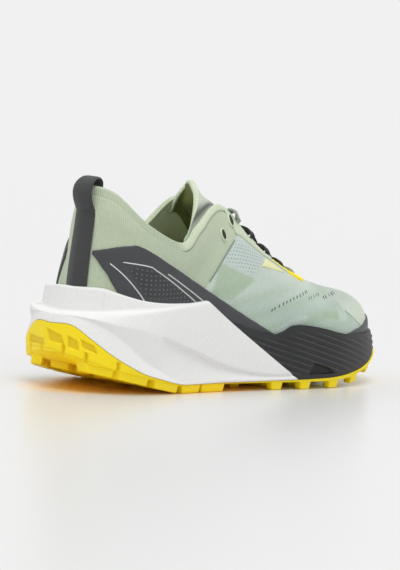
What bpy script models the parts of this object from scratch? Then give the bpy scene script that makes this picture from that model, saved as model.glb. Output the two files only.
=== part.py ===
"""Right trail walking shoe, built from the pieces that a maker puts together.

The toe points along +X, the outer (lateral) side faces -Y and the shoe stands on z = 0. Every curved piece
is read from two forms: the sole's plan outline, and the surface of the upper, which runs from the feather
line on the footbed up to the rim of the collar and throat. Sizes are in millimetres unless a name says so.
"""

import math
from collections import namedtuple

import bmesh
import bpy
from mathutils import Vector

MM = 0.001

# Driving dimensions
LENGTH = 301.0
BALL_WIDTH = 107.0
HEEL_HEIGHT = 120.0
GAP = 0.3

# Sole
LUG_HEIGHT = 4.0
PLATE = 2.6
TRIM_LIP = 0.7
RUBBER_WALL = 2.4
TREAD_INSET = 6.0
TREAD_CORNER = 1.6
HEEL_BEVEL = 14.5
HEEL_BEVEL_RUN = 76.0
HEEL_BEVEL_EASE = 0.12
TOE_SPRING = 22.0
TOE_BREAK = 203.0
WING_TOP = (93.0, 55.5)
WING_FOOT = (176.0, 7.2)
RAND_WALL = 2.8
RAND_RIBS = 4
RIB_DEPTH = 0.9
FOAM_SETBACK = 0.5
FRONT_SETBACK = 1.6

# Upper
UPPER_WALL = 2.0
COLLAR_WALL = 4.6
INSOLE_THICK = 4.4
TONGUE_THICK = 4.2
OVERLAY_THICK = 1.1
OVERLAY_LIFT = 0.45
EYESTAY_THICK = 0.8

# Pull loop and laces
TAPE_WIDTH = 15.0
TAPE_THICK = 1.5
LACE_WIDTH = 5.6
LACE_THICK = 1.5
LACE_PAIRS = 5

# Points between two stations round the foot, and levels up the upper
STEPS = 4
LEVELS = 8

# Plan outline of the sole at its widest, as shares of the length and of the ball width
Station = namedtuple("Station", "place along lateral medial")
STATIONS = (
    Station("heel back", 0.000, 0.000, 0.000),
    Station("heel corner", 0.050, -0.285, 0.305),
    Station("heel side", 0.143, -0.397, 0.395),
    Station("ankle", 0.249, -0.411, 0.393),
    Station("waist", 0.375, -0.411, 0.380),
    Station("instep", 0.502, -0.449, 0.400),
    Station("ball rear", 0.628, -0.495, 0.449),
    Station("ball", 0.748, -0.505, 0.495),
    Station("toe side", 0.867, -0.421, 0.467),
    Station("toe corner", 0.953, -0.243, 0.336),
    Station("toe tip", 1.000, 0.075, 0.075),
)

# Rim of the collar and throat on both sides, as shares of the length, the ball width and the heel height
Rim = namedtuple("Rim", "place along lateral height medial_along medial medial_height")
RIM = (
    Rim("heel back", 0.076, 0.000, 0.990, 0.076, 0.000, 0.990),
    Rim("heel corner", 0.100, -0.152, 0.963, 0.104, 0.125, 0.962),
    Rim("heel side", 0.154, -0.290, 0.822, 0.170, 0.278, 0.785),
    Rim("ankle", 0.243, -0.336, 0.740, 0.269, 0.330, 0.720),
    Rim("collar front", 0.304, -0.298, 0.830, 0.352, 0.297, 0.752),
    Rim("eyestay top", 0.402, -0.205, 0.932, 0.440, 0.212, 0.942),
    Rim("upper throat", 0.515, -0.165, 0.775, 0.528, 0.175, 0.770),
    Rim("lower throat", 0.610, -0.143, 0.639, 0.614, 0.153, 0.639),
    Rim("throat corner", 0.684, -0.108, 0.558, 0.684, 0.122, 0.558),
    Rim("throat side", 0.730, -0.055, 0.512, 0.730, 0.070, 0.512),
    Rim("throat end", 0.745, 0.010, 0.504, 0.745, 0.010, 0.504),
)

# Sections of the upper: the feather line's inset from the sole's outline, then the two handles of the
# curve that runs from there to the rim, as distances out and up from its foot, and out and down from its rim
Section = namedtuple("Section", "place inset belly lift shoulder drop")
SECTIONS = (
    Section("heel back", 19.0, 3.0, 34.0, 0.5, 30.0),
    Section("heel corner", 20.0, 3.5, 32.0, 1.0, 28.0),
    Section("heel side", 10.0, 4.0, 26.0, 2.0, 24.0),
    Section("ankle", 7.5, 4.0, 22.0, 3.0, 18.0),
    Section("waist", 7.5, 4.0, 24.0, 9.0, 24.0),
    Section("instep", 7.5, 3.5, 26.0, 14.0, 18.0),
    Section("ball rear", 7.0, 4.0, 24.0, 18.0, 12.0),
    Section("ball", 7.0, 4.0, 22.0, 20.0, 8.0),
    Section("toe side", 7.5, 4.5, 22.0, 28.0, 2.0),
    Section("toe corner", 8.0, 5.0, 22.0, 39.0, -0.5),
    Section("toe tip", 9.0, 6.0, 22.5, 48.0, 1.0),
)

# Side of the rear foam: its three creases as shares of the way from the rubber's edge to the ledge, how far
# the first one is drawn in and how deep the scoop at the second is, then the ledge's height and inset, and
# the height and the thickness of the heel clip
Side = namedtuple("Side", "place ridge recess proud strip scoop ledge inset clip wall")
SIDES = (
    Side("heel back", 0.84, 0.90, 0.95, 0.8, 0.2, 45.0, 4.5, 60.4, 7.5),
    Side("heel corner", 0.60, 0.72, 0.80, 2.0, 0.4, 46.4, 4.0, 60.6, 7.0),
    Side("heel side", 0.19, 0.60, 0.67, 2.2, 0.9, 49.5, 1.5, 55.0, 3.6),
    Side("ankle", 0.03, 0.42, 0.48, 0.6, 2.6, 52.4, 1.0, 54.2, 2.6),
    Side("waist", 0.03, 0.165, 0.225, 0.0, 2.4, 54.6, 1.0, 56.4, 2.6),
    Side("instep", 0.03, 0.06, 0.10, 0.0, 1.4, 52.0, 1.0, 53.6, 2.6),
    Side("ball rear", 0.03, 0.06, 0.10, 0.0, 1.0, 50.0, 1.0, 51.6, 2.6),
    Side("ball", 0.03, 0.06, 0.10, 0.0, 1.0, 48.0, 1.0, 49.6, 2.6),
    Side("toe side", 0.03, 0.06, 0.10, 0.0, 1.0, 46.0, 1.0, 47.6, 2.6),
    Side("toe corner", 0.03, 0.06, 0.10, 0.0, 1.0, 46.0, 1.0, 47.6, 2.6),
    Side("toe tip", 0.03, 0.06, 0.10, 0.0, 1.0, 46.0, 1.0, 47.6, 2.6),
)

# How far the rubber wraps up the side above its plate, over stations counted from the heel
Wrap = namedtuple("Wrap", "station height")
WRAP = (
    Wrap(0.00, 18.4),
    Wrap(0.42, 18.0),
    Wrap(0.75, 11.6),
    Wrap(1.08, 5.6),
    Wrap(1.58, 1.9),
    Wrap(2.00, 0.7),
    Wrap(10.0, 0.7),
)

# Height of the dark rand over stations counted from the heel, the same on both sides
Rand = namedtuple("Rand", "station height")
RAND = (
    Rand(3.00, 50.0),
    Rand(4.00, 43.5),
    Rand(4.80, 36.4),
    Rand(5.20, 34.4),
    Rand(5.60, 38.9),
    Rand(5.95, 39.9),
    Rand(6.40, 37.8),
    Rand(6.85, 34.8),
    Rand(7.30, 33.4),
    Rand(8.00, 33.0),
    Rand(9.00, 34.0),
    Rand(10.0, 36.0),
)

# Height of the footbed along the length, before the insole
Bed = namedtuple("Bed", "along height")
FOOTBED = (
    Bed(0.00, 34.5),
    Bed(0.20, 33.2),
    Bed(0.40, 31.0),
    Bed(0.60, 27.2),
    Bed(0.75, 25.8),
    Bed(0.88, 28.0),
    Bed(1.00, 33.0),
)

# Top and bottom edge of the dark quarter panel, as heights over stations counted from the heel
Edge = namedtuple("Edge", "station low high")
QUARTER = (
    Edge(0.52, 79.8, 82.0),
    Edge(0.80, 73.0, 83.6),
    Edge(1.20, 65.0, 85.5),
    Edge(1.70, 59.6, 87.6),
    Edge(2.05, 57.0, 85.6),
    Edge(2.60, 56.4, 76.8),
    Edge(3.10, 57.2, 69.6),
    Edge(3.40, 58.6, 65.8),
    Edge(3.70, 54.6, 61.5),
    Edge(4.00, 47.6, 56.4),
    Edge(4.50, 41.0, 47.2),
    Edge(5.05, 37.6, 38.8),
)

QUARTER_MEDIAL = (Edge(1.05, 75.0, 80.5), *QUARTER[3:])

# Edge of the dark toe bumper
BUMPER = (
    Edge(7.55, 33.9, 35.0),
    Edge(8.30, 34.2, 40.0),
    Edge(9.00, 35.2, 43.0),
    Edge(10.0, 36.9, 44.5),
    Edge(11.0, 35.2, 43.0),
    Edge(11.7, 34.2, 40.0),
    Edge(12.45, 33.9, 35.0),
)

# Finishes: base colour, roughness
Finish = namedtuple("Finish", "colour roughness")
SAGE_KNIT = Finish((0.53, 0.60, 0.47), 0.85)
SAGE_TRIM = Finish((0.60, 0.66, 0.53), 0.60)
CHARCOAL = Finish((0.055, 0.058, 0.065), 0.55)
WHITE_FOAM = Finish((0.86, 0.87, 0.87), 0.62)
YELLOW_RUBBER = Finish((0.90, 0.66, 0.02), 0.55)
BLACK_WEBBING = Finish((0.03, 0.03, 0.034), 0.80)
LINING = Finish((0.22, 0.25, 0.14), 0.90)

SEGMENTS = 2 * (len(STATIONS) - 1)
ROUND = SEGMENTS * STEPS
TOE = ROUND // 2


def catmull(before, start, end, after, share):
    """Smooth value between start and end, on the curve through four neighbours."""
    return 0.5 * (
        2 * start
        + (end - before) * share
        + (2 * before - 5 * start + 4 * end - after) * share**2
        + (3 * start - before - 3 * end + after) * share**3
    )


def closed_run(knots, where):
    """Value at a place on the closed smooth run through the knots, counted in knots."""
    count = len(knots)
    first = math.floor(where)
    near = [knots[(first + step) % count] for step in (-1, 0, 1, 2)]
    return catmull(*near, where - first)


def open_run(knots, where):
    """Value at a place on a table of (place, value) pairs, smooth between them and held at the ends."""
    places = [place for place, _ in knots]
    values = [value for _, value in knots]
    if where <= places[0]:
        return values[0]
    if where >= places[-1]:
        return values[-1]
    first = max(i for i, place in enumerate(places) if place <= where)
    share = (where - places[first]) / (places[first + 1] - places[first])
    last = len(values) - 1
    near = [values[min(max(first + step, 0), last)] for step in (-1, 0, 1, 2)]
    return catmull(*near, share)


def loop_knots(lateral, medial):
    """Knots round the foot: heel, lateral side, toe, and the medial side back to the heel."""
    return list(lateral) + list(medial[-2:0:-1])


def paired(table, lateral, medial):
    """Knots of a column for the lateral side and one for the medial side."""
    return loop_knots([getattr(row, lateral) for row in table], [getattr(row, medial) for row in table])


def both(table, column):
    """Knots of a column that holds for both sides."""
    return paired(table, column, column)


def sided(table, size):
    """Knots of the lateral and medial distances from the middle, scaled to a size."""
    return [share * size for share in paired(table, "lateral", "medial")]


OUTLINE_X = [LENGTH * share for share in both(STATIONS, "along")]
OUTLINE_Y = sided(STATIONS, BALL_WIDTH)
RIM_X = [LENGTH * share for share in paired(RIM, "along", "medial_along")]
RIM_Y = sided(RIM, BALL_WIDTH)
RIM_Z = [HEEL_HEIGHT * share for share in paired(RIM, "height", "medial_height")]
SECTION = {name: both(SECTIONS, name) for name in Section._fields[1:]}
SIDE = {name: both(SIDES, name) for name in Side._fields[1:]}
BED = [(row.along * LENGTH, row.height) for row in FOOTBED]


def ground(x):
    """Height of the tread's lowest face: flat under heel and ball, raised at the bevel and the toe."""
    heel = max(0.0, (HEEL_BEVEL_RUN - x) / HEEL_BEVEL_RUN)
    toe = max(0.0, (x - TOE_BREAK) / (LENGTH - TOE_BREAK))
    eased = heel**2 * (1.0 + HEEL_BEVEL_EASE) / (heel + HEEL_BEVEL_EASE)
    return HEEL_BEVEL * eased + TOE_SPRING * toe**2


def plate_top(x):
    return ground(x) + LUG_HEIGHT + PLATE


def footbed(x):
    return open_run(BED, x)


def outline(where, inset=0.0, z=0.0):
    """Point on the sole's outline, moved in from it."""
    x, y = closed_run(OUTLINE_X, where), closed_run(OUTLINE_Y, where)
    out = outward(where)
    return Vector((x - out.x * inset, y - out.y * inset, z))


def outward(where, step=0.05):
    """Level direction that leaves the outline at right angles."""
    along_x = closed_run(OUTLINE_X, where + step) - closed_run(OUTLINE_X, where - step)
    along_y = closed_run(OUTLINE_Y, where + step) - closed_run(OUTLINE_Y, where - step)
    return Vector((along_y, -along_x, 0.0)).normalized()


def upper(where, level):
    """Outer face of the upper, from the feather line at level 0 to the rim at level 1."""
    size = {name: closed_run(knots, where) for name, knots in SECTION.items()}
    out = outward(where)
    foot = outline(where, size["inset"])
    foot.z = footbed(foot.x) + GAP
    rim = Vector([closed_run(knots, where) for knots in (RIM_X, RIM_Y, RIM_Z)])
    low = foot + out * size["belly"] + Vector((0, 0, size["lift"]))
    high = rim + out * size["shoulder"] - Vector((0, 0, size["drop"]))
    rest = 1.0 - level
    return (
        foot * rest**3 + low * (3 * rest**2 * level) + high * (3 * rest * level**2) + rim * level**3
    )


def upper_normal(where, level, step=0.02):
    """Outward normal of the upper."""
    below, above = max(level - step, 0.0), min(level + step, 1.0)
    up = upper(where, above) - upper(where, below)
    round_foot = upper(where + step, level) - upper(where - step, level)
    return round_foot.cross(up).normalized()


def off_upper(where, level, distance):
    return upper(where, level) + upper_normal(where, level) * distance


def level_at(where, height):
    """Level at which the upper reaches a height."""
    low, high = 0.0, 1.0
    for _ in range(24):
        middle = (low + high) / 2
        if upper(where, middle).z < height:
            low = middle
        else:
            high = middle
    return low


def wall_at(where, level):
    """Thickness of the upper's wall: padded at the collar, thin over the foot."""
    back = max(0.0, math.cos(math.pi * min(abs(where), abs(where - SEGMENTS)) / 10.0))
    pad = max(0.0, (level - 0.35) / 0.65)
    return UPPER_WALL + (COLLAR_WALL - UPPER_WALL) * math.sqrt(back) * pad


def material(name, finish):
    made = bpy.data.materials.get(name)
    if made is None:
        made = bpy.data.materials.new(name)
        made.use_nodes = True
        shader = made.node_tree.nodes["Principled BSDF"]
        shader.inputs["Base Color"].default_value = (*finish.colour, 1.0)
        shader.inputs["Roughness"].default_value = finish.roughness
        shader.inputs["Metallic"].default_value = 0.0
    return made


def solid(name, finish_name, finish, build):
    """Object from a function that fills a bmesh in millimetres."""
    shape = bmesh.new()
    build(shape)
    bmesh.ops.remove_doubles(shape, verts=shape.verts, dist=1e-4)
    bmesh.ops.recalc_face_normals(shape, faces=shape.faces)
    bmesh.ops.scale(shape, vec=(MM, MM, MM), verts=shape.verts)
    mesh = bpy.data.meshes.new(name)
    shape.to_mesh(mesh)
    shape.free()
    mesh.shade_smooth()
    mesh.set_sharp_from_angle(angle=math.radians(40))
    mesh.materials.append(material(finish_name, finish))
    made = bpy.data.objects.new(name, mesh)
    bpy.context.scene.collection.objects.link(made)
    return made


def strip(shape, lower, upper_row, closed):
    """Quads between two rows of vertices."""
    count = len(lower)
    for i in range(count if closed else count - 1):
        j = (i + 1) % count
        shape.faces.new((lower[i], lower[j], upper_row[j], upper_row[i]))


def rows_of(shape, grid):
    return [[shape.verts.new(point) for point in row] for row in grid]


def ladder(shape, ring, columns, height):
    """Cap that crosses a ring from its lateral to its medial side, row by row, at a given height."""
    count = len(ring)
    rows = [[ring[0]]]
    for i in range(1, count // 2):
        left, right = ring[i], ring[count - i]
        inner = []
        for j in range(1, columns):
            spot = left.co.lerp(right.co, j / columns)
            spot.z = height(spot.x, j / columns)
            inner.append(shape.verts.new(spot))
        rows.append([left, *inner, right])
    rows.append([ring[count // 2]])
    for one, two in zip(rows, rows[1:]):
        if len(one) == 1:
            for left, right in zip(two, two[1:]):
                shape.faces.new((one[0], left, right))
        elif len(two) == 1:
            for left, right in zip(one, one[1:]):
                shape.faces.new((left, two[0], right))
        else:
            strip(shape, one, two, False)


def ring_solid(rings, floor, roof, columns=3):
    """Builder for a solid of rings round the foot, with a floor in the first and a roof in the last."""

    def build(shape):
        rows = rows_of(shape, rings)
        for lower, higher in zip(rows, rows[1:]):
            strip(shape, lower, higher, True)
        ladder(shape, rows[0], columns, floor)
        ladder(shape, rows[-1], columns, roof)

    return build


def sheet_solid(outer, inner):
    """Builder for a panel between two equal grids of points."""

    def build(shape):
        front, back = rows_of(shape, outer), rows_of(shape, inner)
        for grid in (front, back):
            for one, two in zip(grid, grid[1:]):
                strip(shape, one, two, False)
        strip(shape, front[0], back[0], False)
        strip(shape, front[-1], back[-1], False)
        strip(shape, [row[0] for row in front], [row[0] for row in back], False)
        strip(shape, [row[-1] for row in front], [row[-1] for row in back], False)

    return build


def round_places():
    return [i / STEPS for i in range(ROUND)]


def ring(point):
    """Ring of points round the foot from a function of the place."""
    return [point(where) for where in round_places()]


def side_value(where):
    return {name: closed_run(knots, where) for name, knots in SIDE.items()}


def rand_top(where):
    return open_run(RAND, min(where, SEGMENTS - where))


def trim(where):
    """Height of the rubber's upper edge."""
    x = outline(where).x
    return plate_top(x) + max(TRIM_LIP, open_run(WRAP, min(where, SEGMENTS - where)))


def tread_ring(inset, rise):
    def point(where):
        spot = outline(where, inset)
        spot.z = ground(spot.x) + LUG_HEIGHT + rise
        return spot

    return ring(point)


def wall_ring(inset, height):
    return ring(lambda where: outline(where, inset, height(where)))


def build_outsole():
    """Rubber plate with a rolled edge that wraps the heel, and its lugs."""
    inner = RUBBER_WALL
    rings = [
        tread_ring(TREAD_INSET, 0.0),
        tread_ring(TREAD_CORNER, 1.3),
        wall_ring(0.6, trim),
        wall_ring(0.6 + inner, trim),
        tread_ring(TREAD_CORNER + inner, PLATE + 0.2),
        tread_ring(TREAD_INSET + inner, PLATE),
    ]
    outsole = solid(
        "outsole",
        "yellow_rubber",
        YELLOW_RUBBER,
        ring_solid(rings, lambda x, _: ground(x) + LUG_HEIGHT, lambda x, _: plate_top(x), 2),
    )
    lugs = solid("lug_cutter", "yellow_rubber", YELLOW_RUBBER, build_lugs)
    lugs.hide_render = True
    lugs.display_type = "WIRE"
    join = outsole.modifiers.new("lugs", "BOOLEAN")
    join.operation = "UNION"
    join.use_self = True
    join.object = lugs
    return outsole


# Rows of lugs: distance from the heel, length along the foot, and shares of the half width that the inner
# and the outer edge of each side's lug stand at
Lug = namedtuple("Lug", "along length inner outer")
EDGE_LUGS = (
    Lug(17.0, 11.0, 0.58, 0.89),
    Lug(35.5, 19.0, 0.60, 0.92),
    Lug(61.0, 20.0, 0.62, 0.94),
    Lug(84.0, 16.0, 0.64, 0.94),
    Lug(105.0, 20.0, 0.68, 0.94),
    Lug(161.0, 8.0, 0.86, 0.95),
    Lug(186.0, 8.0, 0.86, 0.95),
    Lug(213.0, 8.0, 0.86, 0.95),
    Lug(237.0, 8.0, 0.85, 0.95),
    Lug(262.0, 7.0, 0.80, 0.93),
    Lug(280.0, 6.0, 0.62, 0.88),
)
INNER_LUGS = (
    Lug(21.0, 6.0, 0.10, 0.38),
    Lug(37.0, 8.0, 0.10, 0.46),
    Lug(53.0, 8.0, 0.12, 0.48),
    Lug(71.0, 8.0, 0.12, 0.48),
    Lug(144.0, 8.0, 0.12, 0.58),
    Lug(170.0, 9.0, 0.12, 0.62),
    Lug(196.0, 9.0, 0.12, 0.62),
    Lug(222.0, 9.0, 0.12, 0.62),
    Lug(246.0, 8.0, 0.12, 0.56),
    Lug(265.0, 7.0, 0.12, 0.44),
)
LUG_TAPER = 1.0
LUG_ROOT = 1.9
LUG_SWEEP = 5.0


def half_widths(x):
    """Lateral and medial edge of the sole's outline at a distance from the heel."""
    lateral = [(STATIONS[i].along * LENGTH, STATIONS[i].lateral * BALL_WIDTH) for i in range(len(STATIONS))]
    medial = [(STATIONS[i].along * LENGTH, STATIONS[i].medial * BALL_WIDTH) for i in range(len(STATIONS))]
    return open_run(lateral, x), open_run(medial, x)


def build_lugs(shape):
    """Tapered blocks on both sides of the sole, the inner ones swept forward like a chevron."""
    for table, sweep in ((EDGE_LUGS, 0.0), (INNER_LUGS, LUG_SWEEP)):
        for lug in table:
            for side in (0, 1):
                add_lug(shape, lug, side, sweep)


def add_lug(shape, lug, side, sweep):
    corners = []
    for rise, grow in ((0.0, 0.0), (LUG_HEIGHT + LUG_ROOT, LUG_TAPER)):
        half = lug.length / 2 + grow
        rear, front = half_widths(lug.along - half)[side], half_widths(lug.along + half)[side]
        spread = math.copysign(grow * 0.5, front)
        for x, y in (
            (lug.along - half + sweep, rear * lug.inner - spread),
            (lug.along + half + sweep, front * lug.inner - spread),
            (lug.along + half, front * lug.outer + spread),
            (lug.along - half, rear * lug.outer + spread),
        ):
            corners.append(shape.verts.new((x, y, ground(x) + rise)))
    low, high = corners[:4], corners[4:]
    shape.faces.new(low)
    shape.faces.new(high)
    strip(shape, low, high, True)


def cradle_rings(inset, outer):
    """Foam rings from the bottom that nests in the rubber to the edge that stands over it."""
    nest = RUBBER_WALL + 2 * GAP

    def above_trim(where):
        return trim(where) + GAP

    return [
        tread_ring(TREAD_INSET + nest, PLATE + GAP),
        tread_ring(TREAD_CORNER + nest, PLATE + GAP + 0.2),
        wall_ring(0.6 + nest, above_trim),
        wall_ring(inset, above_trim),
        *outer,
    ]


def cup_rings(top, wall):
    """Foam rings over the top edge and down the inner face that holds the upper."""
    levels = ring(lambda where: level_at(where, top(where)))

    def at(share, distance):
        return [
            off_upper(where, levels[i] * share, GAP + distance(where))
            for i, where in enumerate(round_places())
        ]

    def nothing(_):
        return 0.0

    def bed(inset):
        def point(where):
            spot = outline(where, closed_run(SECTION["inset"], where) + inset)
            spot.z = footbed(spot.x)
            return spot

        return ring(point)

    return [at(1.0, wall), at(1.0, nothing), at(0.5, nothing), bed(-GAP), bed(0.8)]


def split_cutter(name, front):
    """Wedge on one side of the slanted face where the two foams meet."""
    (top_x, top_z), (foot_x, foot_z) = WING_TOP, WING_FOOT
    slope = (top_x - foot_x) / (top_z - foot_z)
    reach, low, high, half = 400.0, -50.0, 200.0, 120.0
    shift = -GAP if front else GAP
    edge_low = foot_x + slope * (low - foot_z) + shift
    edge_high = foot_x + slope * (high - foot_z) + shift
    far = reach + 400.0 if front else -reach
    corners = [(edge_low, low), (edge_high, high), (far, high), (far, low)]

    def build(shape):
        rows = rows_of(shape, [[(x, y, z) for x, z in corners] for y in (-half, half)])
        strip(shape, rows[0], rows[1], True)
        shape.faces.new(rows[0])
        shape.faces.new(rows[1])

    cutter = solid(name, "white_foam", WHITE_FOAM, build)
    cutter.hide_render = True
    cutter.display_type = "WIRE"
    return cutter


def cut(piece, cutter):
    made = piece.modifiers.new(cutter.name, "BOOLEAN")
    made.operation = "DIFFERENCE"
    made.object = cutter


def build_midsole_rear():
    """White foam: chamfered heel, scooped side, ledge with the wing, and the clip that holds the heel."""

    def share_height(column):
        def height(where):
            low = trim(where) + GAP
            return low + (side_value(where)["ledge"] - low) * side_value(where)[column]

        return height

    def ledge(where):
        return side_value(where)["ledge"]

    def clip(where):
        return max(side_value(where)["clip"], ledge(where) + 1.5)

    def clip_wall(where):
        return side_value(where)["wall"]

    def slope_ring(share, depth, column, strip):
        """Ring on the side, drawn in by shares of the ledge's inset, of the scoop and of the lower strip."""
        height = share_height(column)

        def point(where):
            side = side_value(where)
            inset = share * (side["inset"] - 1.0) + depth * side["scoop"] + strip * side["strip"]
            return outline(where, inset, height(where))

        return ring(point)

    def ledge_inner(where):
        level = level_at(where, ledge(where) + 0.9)
        spot = off_upper(where, level, GAP + clip_wall(where) + 0.4)
        spot.z = ledge(where) + 0.9
        return spot

    rings = cradle_rings(
        FOAM_SETBACK,
        [
            slope_ring(0.1, 0.0, "ridge", 1.0),
            slope_ring(0.3, 1.0, "recess", 0.3),
            slope_ring(0.5, 0.1, "proud", 0.1),
            ring(lambda where: outline(where, side_value(where)["inset"], ledge(where))),
            ring(ledge_inner),
            *cup_rings(clip, clip_wall),
        ],
    )
    rear = solid(
        "midsole_rear",
        "white_foam",
        WHITE_FOAM,
        ring_solid(rings, lambda x, _: plate_top(x) + GAP, lambda x, _: footbed(x)),
    )
    cut(rear, split_cutter("front_wedge", True))
    return rear


def build_midsole_front():
    """Dark foam under the forefoot, with flowing ribs up its side to the rand."""

    def rib_ring(share, inset):
        def point(where):
            low = outline(where, FRONT_SETBACK, trim(where) + GAP)
            high = off_upper(where, level_at(where, rand_top(where)), GAP + RAND_WALL)
            spot = low.lerp(high, share)
            spot -= outward(where) * (inset - 2.4 * share * (1.0 - share))
            return spot

        return ring(point)

    ribs = []
    for i in range(RAND_RIBS):
        start = (i + 0.35) / (RAND_RIBS + 0.2)
        ribs.append(rib_ring(start, 0.0))
        ribs.append(rib_ring(start + 0.09, RIB_DEPTH))
    rings = cradle_rings(
        FRONT_SETBACK,
        [*ribs, *cup_rings(rand_top, lambda where: RAND_WALL)],
    )
    front = solid(
        "midsole_front",
        "charcoal_foam",
        CHARCOAL,
        ring_solid(rings, lambda x, _: plate_top(x) + GAP, lambda x, _: footbed(x)),
    )
    cut(front, split_cutter("rear_wedge", False))
    return front


def build_insole():
    """Sock liner on the footbed, inside the foot of the upper."""

    def edge(level, rise):
        def point(where):
            spot = off_upper(where, level, -UPPER_WALL - 0.7)
            spot.z = footbed(spot.x) + rise
            return spot

        return ring(point)

    rings = [edge(0.01, GAP), edge(0.05, INSOLE_THICK)]
    return solid(
        "insole",
        "lining",
        LINING,
        ring_solid(
            rings, lambda x, _: footbed(x) + GAP, lambda x, _: footbed(x) + INSOLE_THICK - 0.6
        ),
    )


def build_upper():
    """Knitted upper: one wall from the feather line to the rim, open below and at collar and throat."""
    levels = [i / LEVELS for i in range(LEVELS + 1)]
    outer = [ring(lambda where, v=v: upper(where, v)) for v in levels]
    inner = [
        ring(lambda where, v=v: off_upper(where, v, -wall_at(where, v))) for v in reversed(levels)
    ]

    def build(shape):
        rows = rows_of(shape, outer + inner)
        for lower, higher in zip(rows, rows[1:] + rows[:1]):
            strip(shape, lower, higher, True)

    return solid("upper", "sage_knit", SAGE_KNIT, build)


# Rise of the tongue's middle over stations counted from the heel
Crown = namedtuple("Crown", "station rise")
CROWN = (
    Crown(5.25, 3.8),
    Crown(5.80, 3.4),
    Crown(6.50, 1.8),
    Crown(7.50, 0.9),
    Crown(8.70, 0.3),
)
LACE_OVER_CROWN = 3.8
LACE_ARCH = 0.4

# Rows of the tongue above the eyestay: how far on, and the share of the width that is left
TonguePeak = namedtuple("TonguePeak", "reach width")
TONGUE_PEAK = (TonguePeak(7.0, 0.84), TonguePeak(12.5, 0.44), TonguePeak(15.5, 0.16))
TONGUE_FIRST = 5.25
TONGUE_LAST = 8.5
TONGUE_ROWS = 14
TONGUE_ROOT = (8.9, 9.25)
TONGUE_TUCK = 0.87
TONGUE_LEAN = Vector((-0.62, 0.0, 0.78))


def tongue_line(where):
    """Points across the tongue's outer face, tucked under both edges of the throat."""
    other = SEGMENTS - where
    clear = UPPER_WALL + 1.3
    crown = open_run(CROWN, where)
    left = [off_upper(where, TONGUE_TUCK, -clear), off_upper(where, 1.0, -clear)]
    right = [off_upper(other, 1.0, -clear), off_upper(other, TONGUE_TUCK, -clear)]
    span = right[0] - left[1]
    middle = []
    for share in (0.25, 0.5, 0.75):
        arch = crown * 4 * share * (1.0 - share)
        middle.append(left[1] + span * share + Vector((0, 0, arch)))
    return [*left, *middle, *right]


def tongue_root_line(where):
    """Points straight across the tongue's root, hidden under the vamp."""
    clear = UPPER_WALL + 2.8
    left = off_upper(where, TONGUE_TUCK, -clear)
    right = off_upper(SEGMENTS - where, TONGUE_TUCK, -clear)
    return [left.lerp(right, j / 6) for j in range(7)]


def build_tongue():
    """Padded tongue under the throat, with a rounded top that stands above the eyestay."""
    peak = tongue_line(TONGUE_FIRST)
    centre = peak[3].copy()
    top = []
    for row in reversed(TONGUE_PEAK):
        shift = TONGUE_LEAN * row.reach
        line = [centre + (point - centre) * row.width + shift for point in peak[1:-1]]
        left, right = (peak[0] - peak[1]) * 0.3, (peak[-1] - peak[-2]) * 0.3
        top.append([line[0] + left, *line, line[-1] + right])
    step = (TONGUE_LAST - TONGUE_FIRST) / TONGUE_ROWS
    face = top + [tongue_line(TONGUE_FIRST + i * step) for i in range(TONGUE_ROWS + 1)]
    face += [tongue_root_line(where) for where in TONGUE_ROOT]
    back = []
    for i, row in enumerate(face):
        ahead, behind = face[min(i + 1, len(face) - 1)], face[max(i - 1, 0)]
        line = []
        for j, point in enumerate(row):
            along = ahead[j] - behind[j]
            across = row[min(j + 1, len(row) - 1)] - row[max(j - 1, 0)]
            thick = TONGUE_THICK * (0.45 if j in (0, len(row) - 1) else 1.0) * (0.6 if i == 0 else 1.0)
            line.append(point - along.cross(across).normalized() * thick)
        back.append(line)
    return solid("tongue", "sage_knit", SAGE_KNIT, sheet_solid(face, back))


def panel(name, finish_name, finish, edges, mirrored=False, lift=OVERLAY_LIFT, thick=OVERLAY_THICK):
    """Overlay cut from the upper's own surface between two edges given as heights."""
    columns, rows = 26, 2
    first, last = edges[0].station, edges[-1].station
    low = [(edge.station, edge.low) for edge in edges]
    high = [(edge.station, edge.high) for edge in edges]
    outer, inner = [], []
    for i in range(columns + 1):
        station = first + (last - first) * i / columns
        where = SEGMENTS - station if mirrored else station
        start, end = (level_at(where, open_run(run, station)) for run in (low, high))
        spots = [start + (end - start) * j / rows for j in range(rows + 1)]
        inner.append([off_upper(where, level, lift) for level in spots])
        outer.append([off_upper(where, level, lift + thick) for level in spots])
    return solid(name, finish_name, finish, sheet_solid(outer, inner))


def rim_band(name, finish_name, finish, first, last, low, high, columns, thick):
    """Overlay that follows the rim between two levels of the upper."""
    outer, inner = [], []
    for i in range(columns + 1):
        where = first + (last - first) * i / columns
        levels = (low, (low + high) / 2, high)
        inner.append([off_upper(where, level, OVERLAY_LIFT) for level in levels])
        outer.append([off_upper(where, level, OVERLAY_LIFT + thick) for level in levels])
    return solid(name, finish_name, finish, sheet_solid(outer, inner))


def heel_place(y, level):
    """Place near the heel where the upper stands at a distance from the middle."""
    low, high = -1.5, 1.5
    for _ in range(30):
        middle = (low + high) / 2
        if upper(middle, level).y > y:
            low = middle
        else:
            high = middle
    return low


TAPE_ABOVE_CLIP = 2.2
LOOP_LEAVES = 0.84
LOOP_BULGE = 13.0
LOOP_FORWARD = 9.0
LOOP_RISE = 20.5
LOOP_DROP = 15.5
TAPE_ROWS = 8
LOOP_ROWS = 10
HOLD_LEVELS = (0.97, 0.92, 0.87)
HOLD_CLEAR = 0.5


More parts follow.
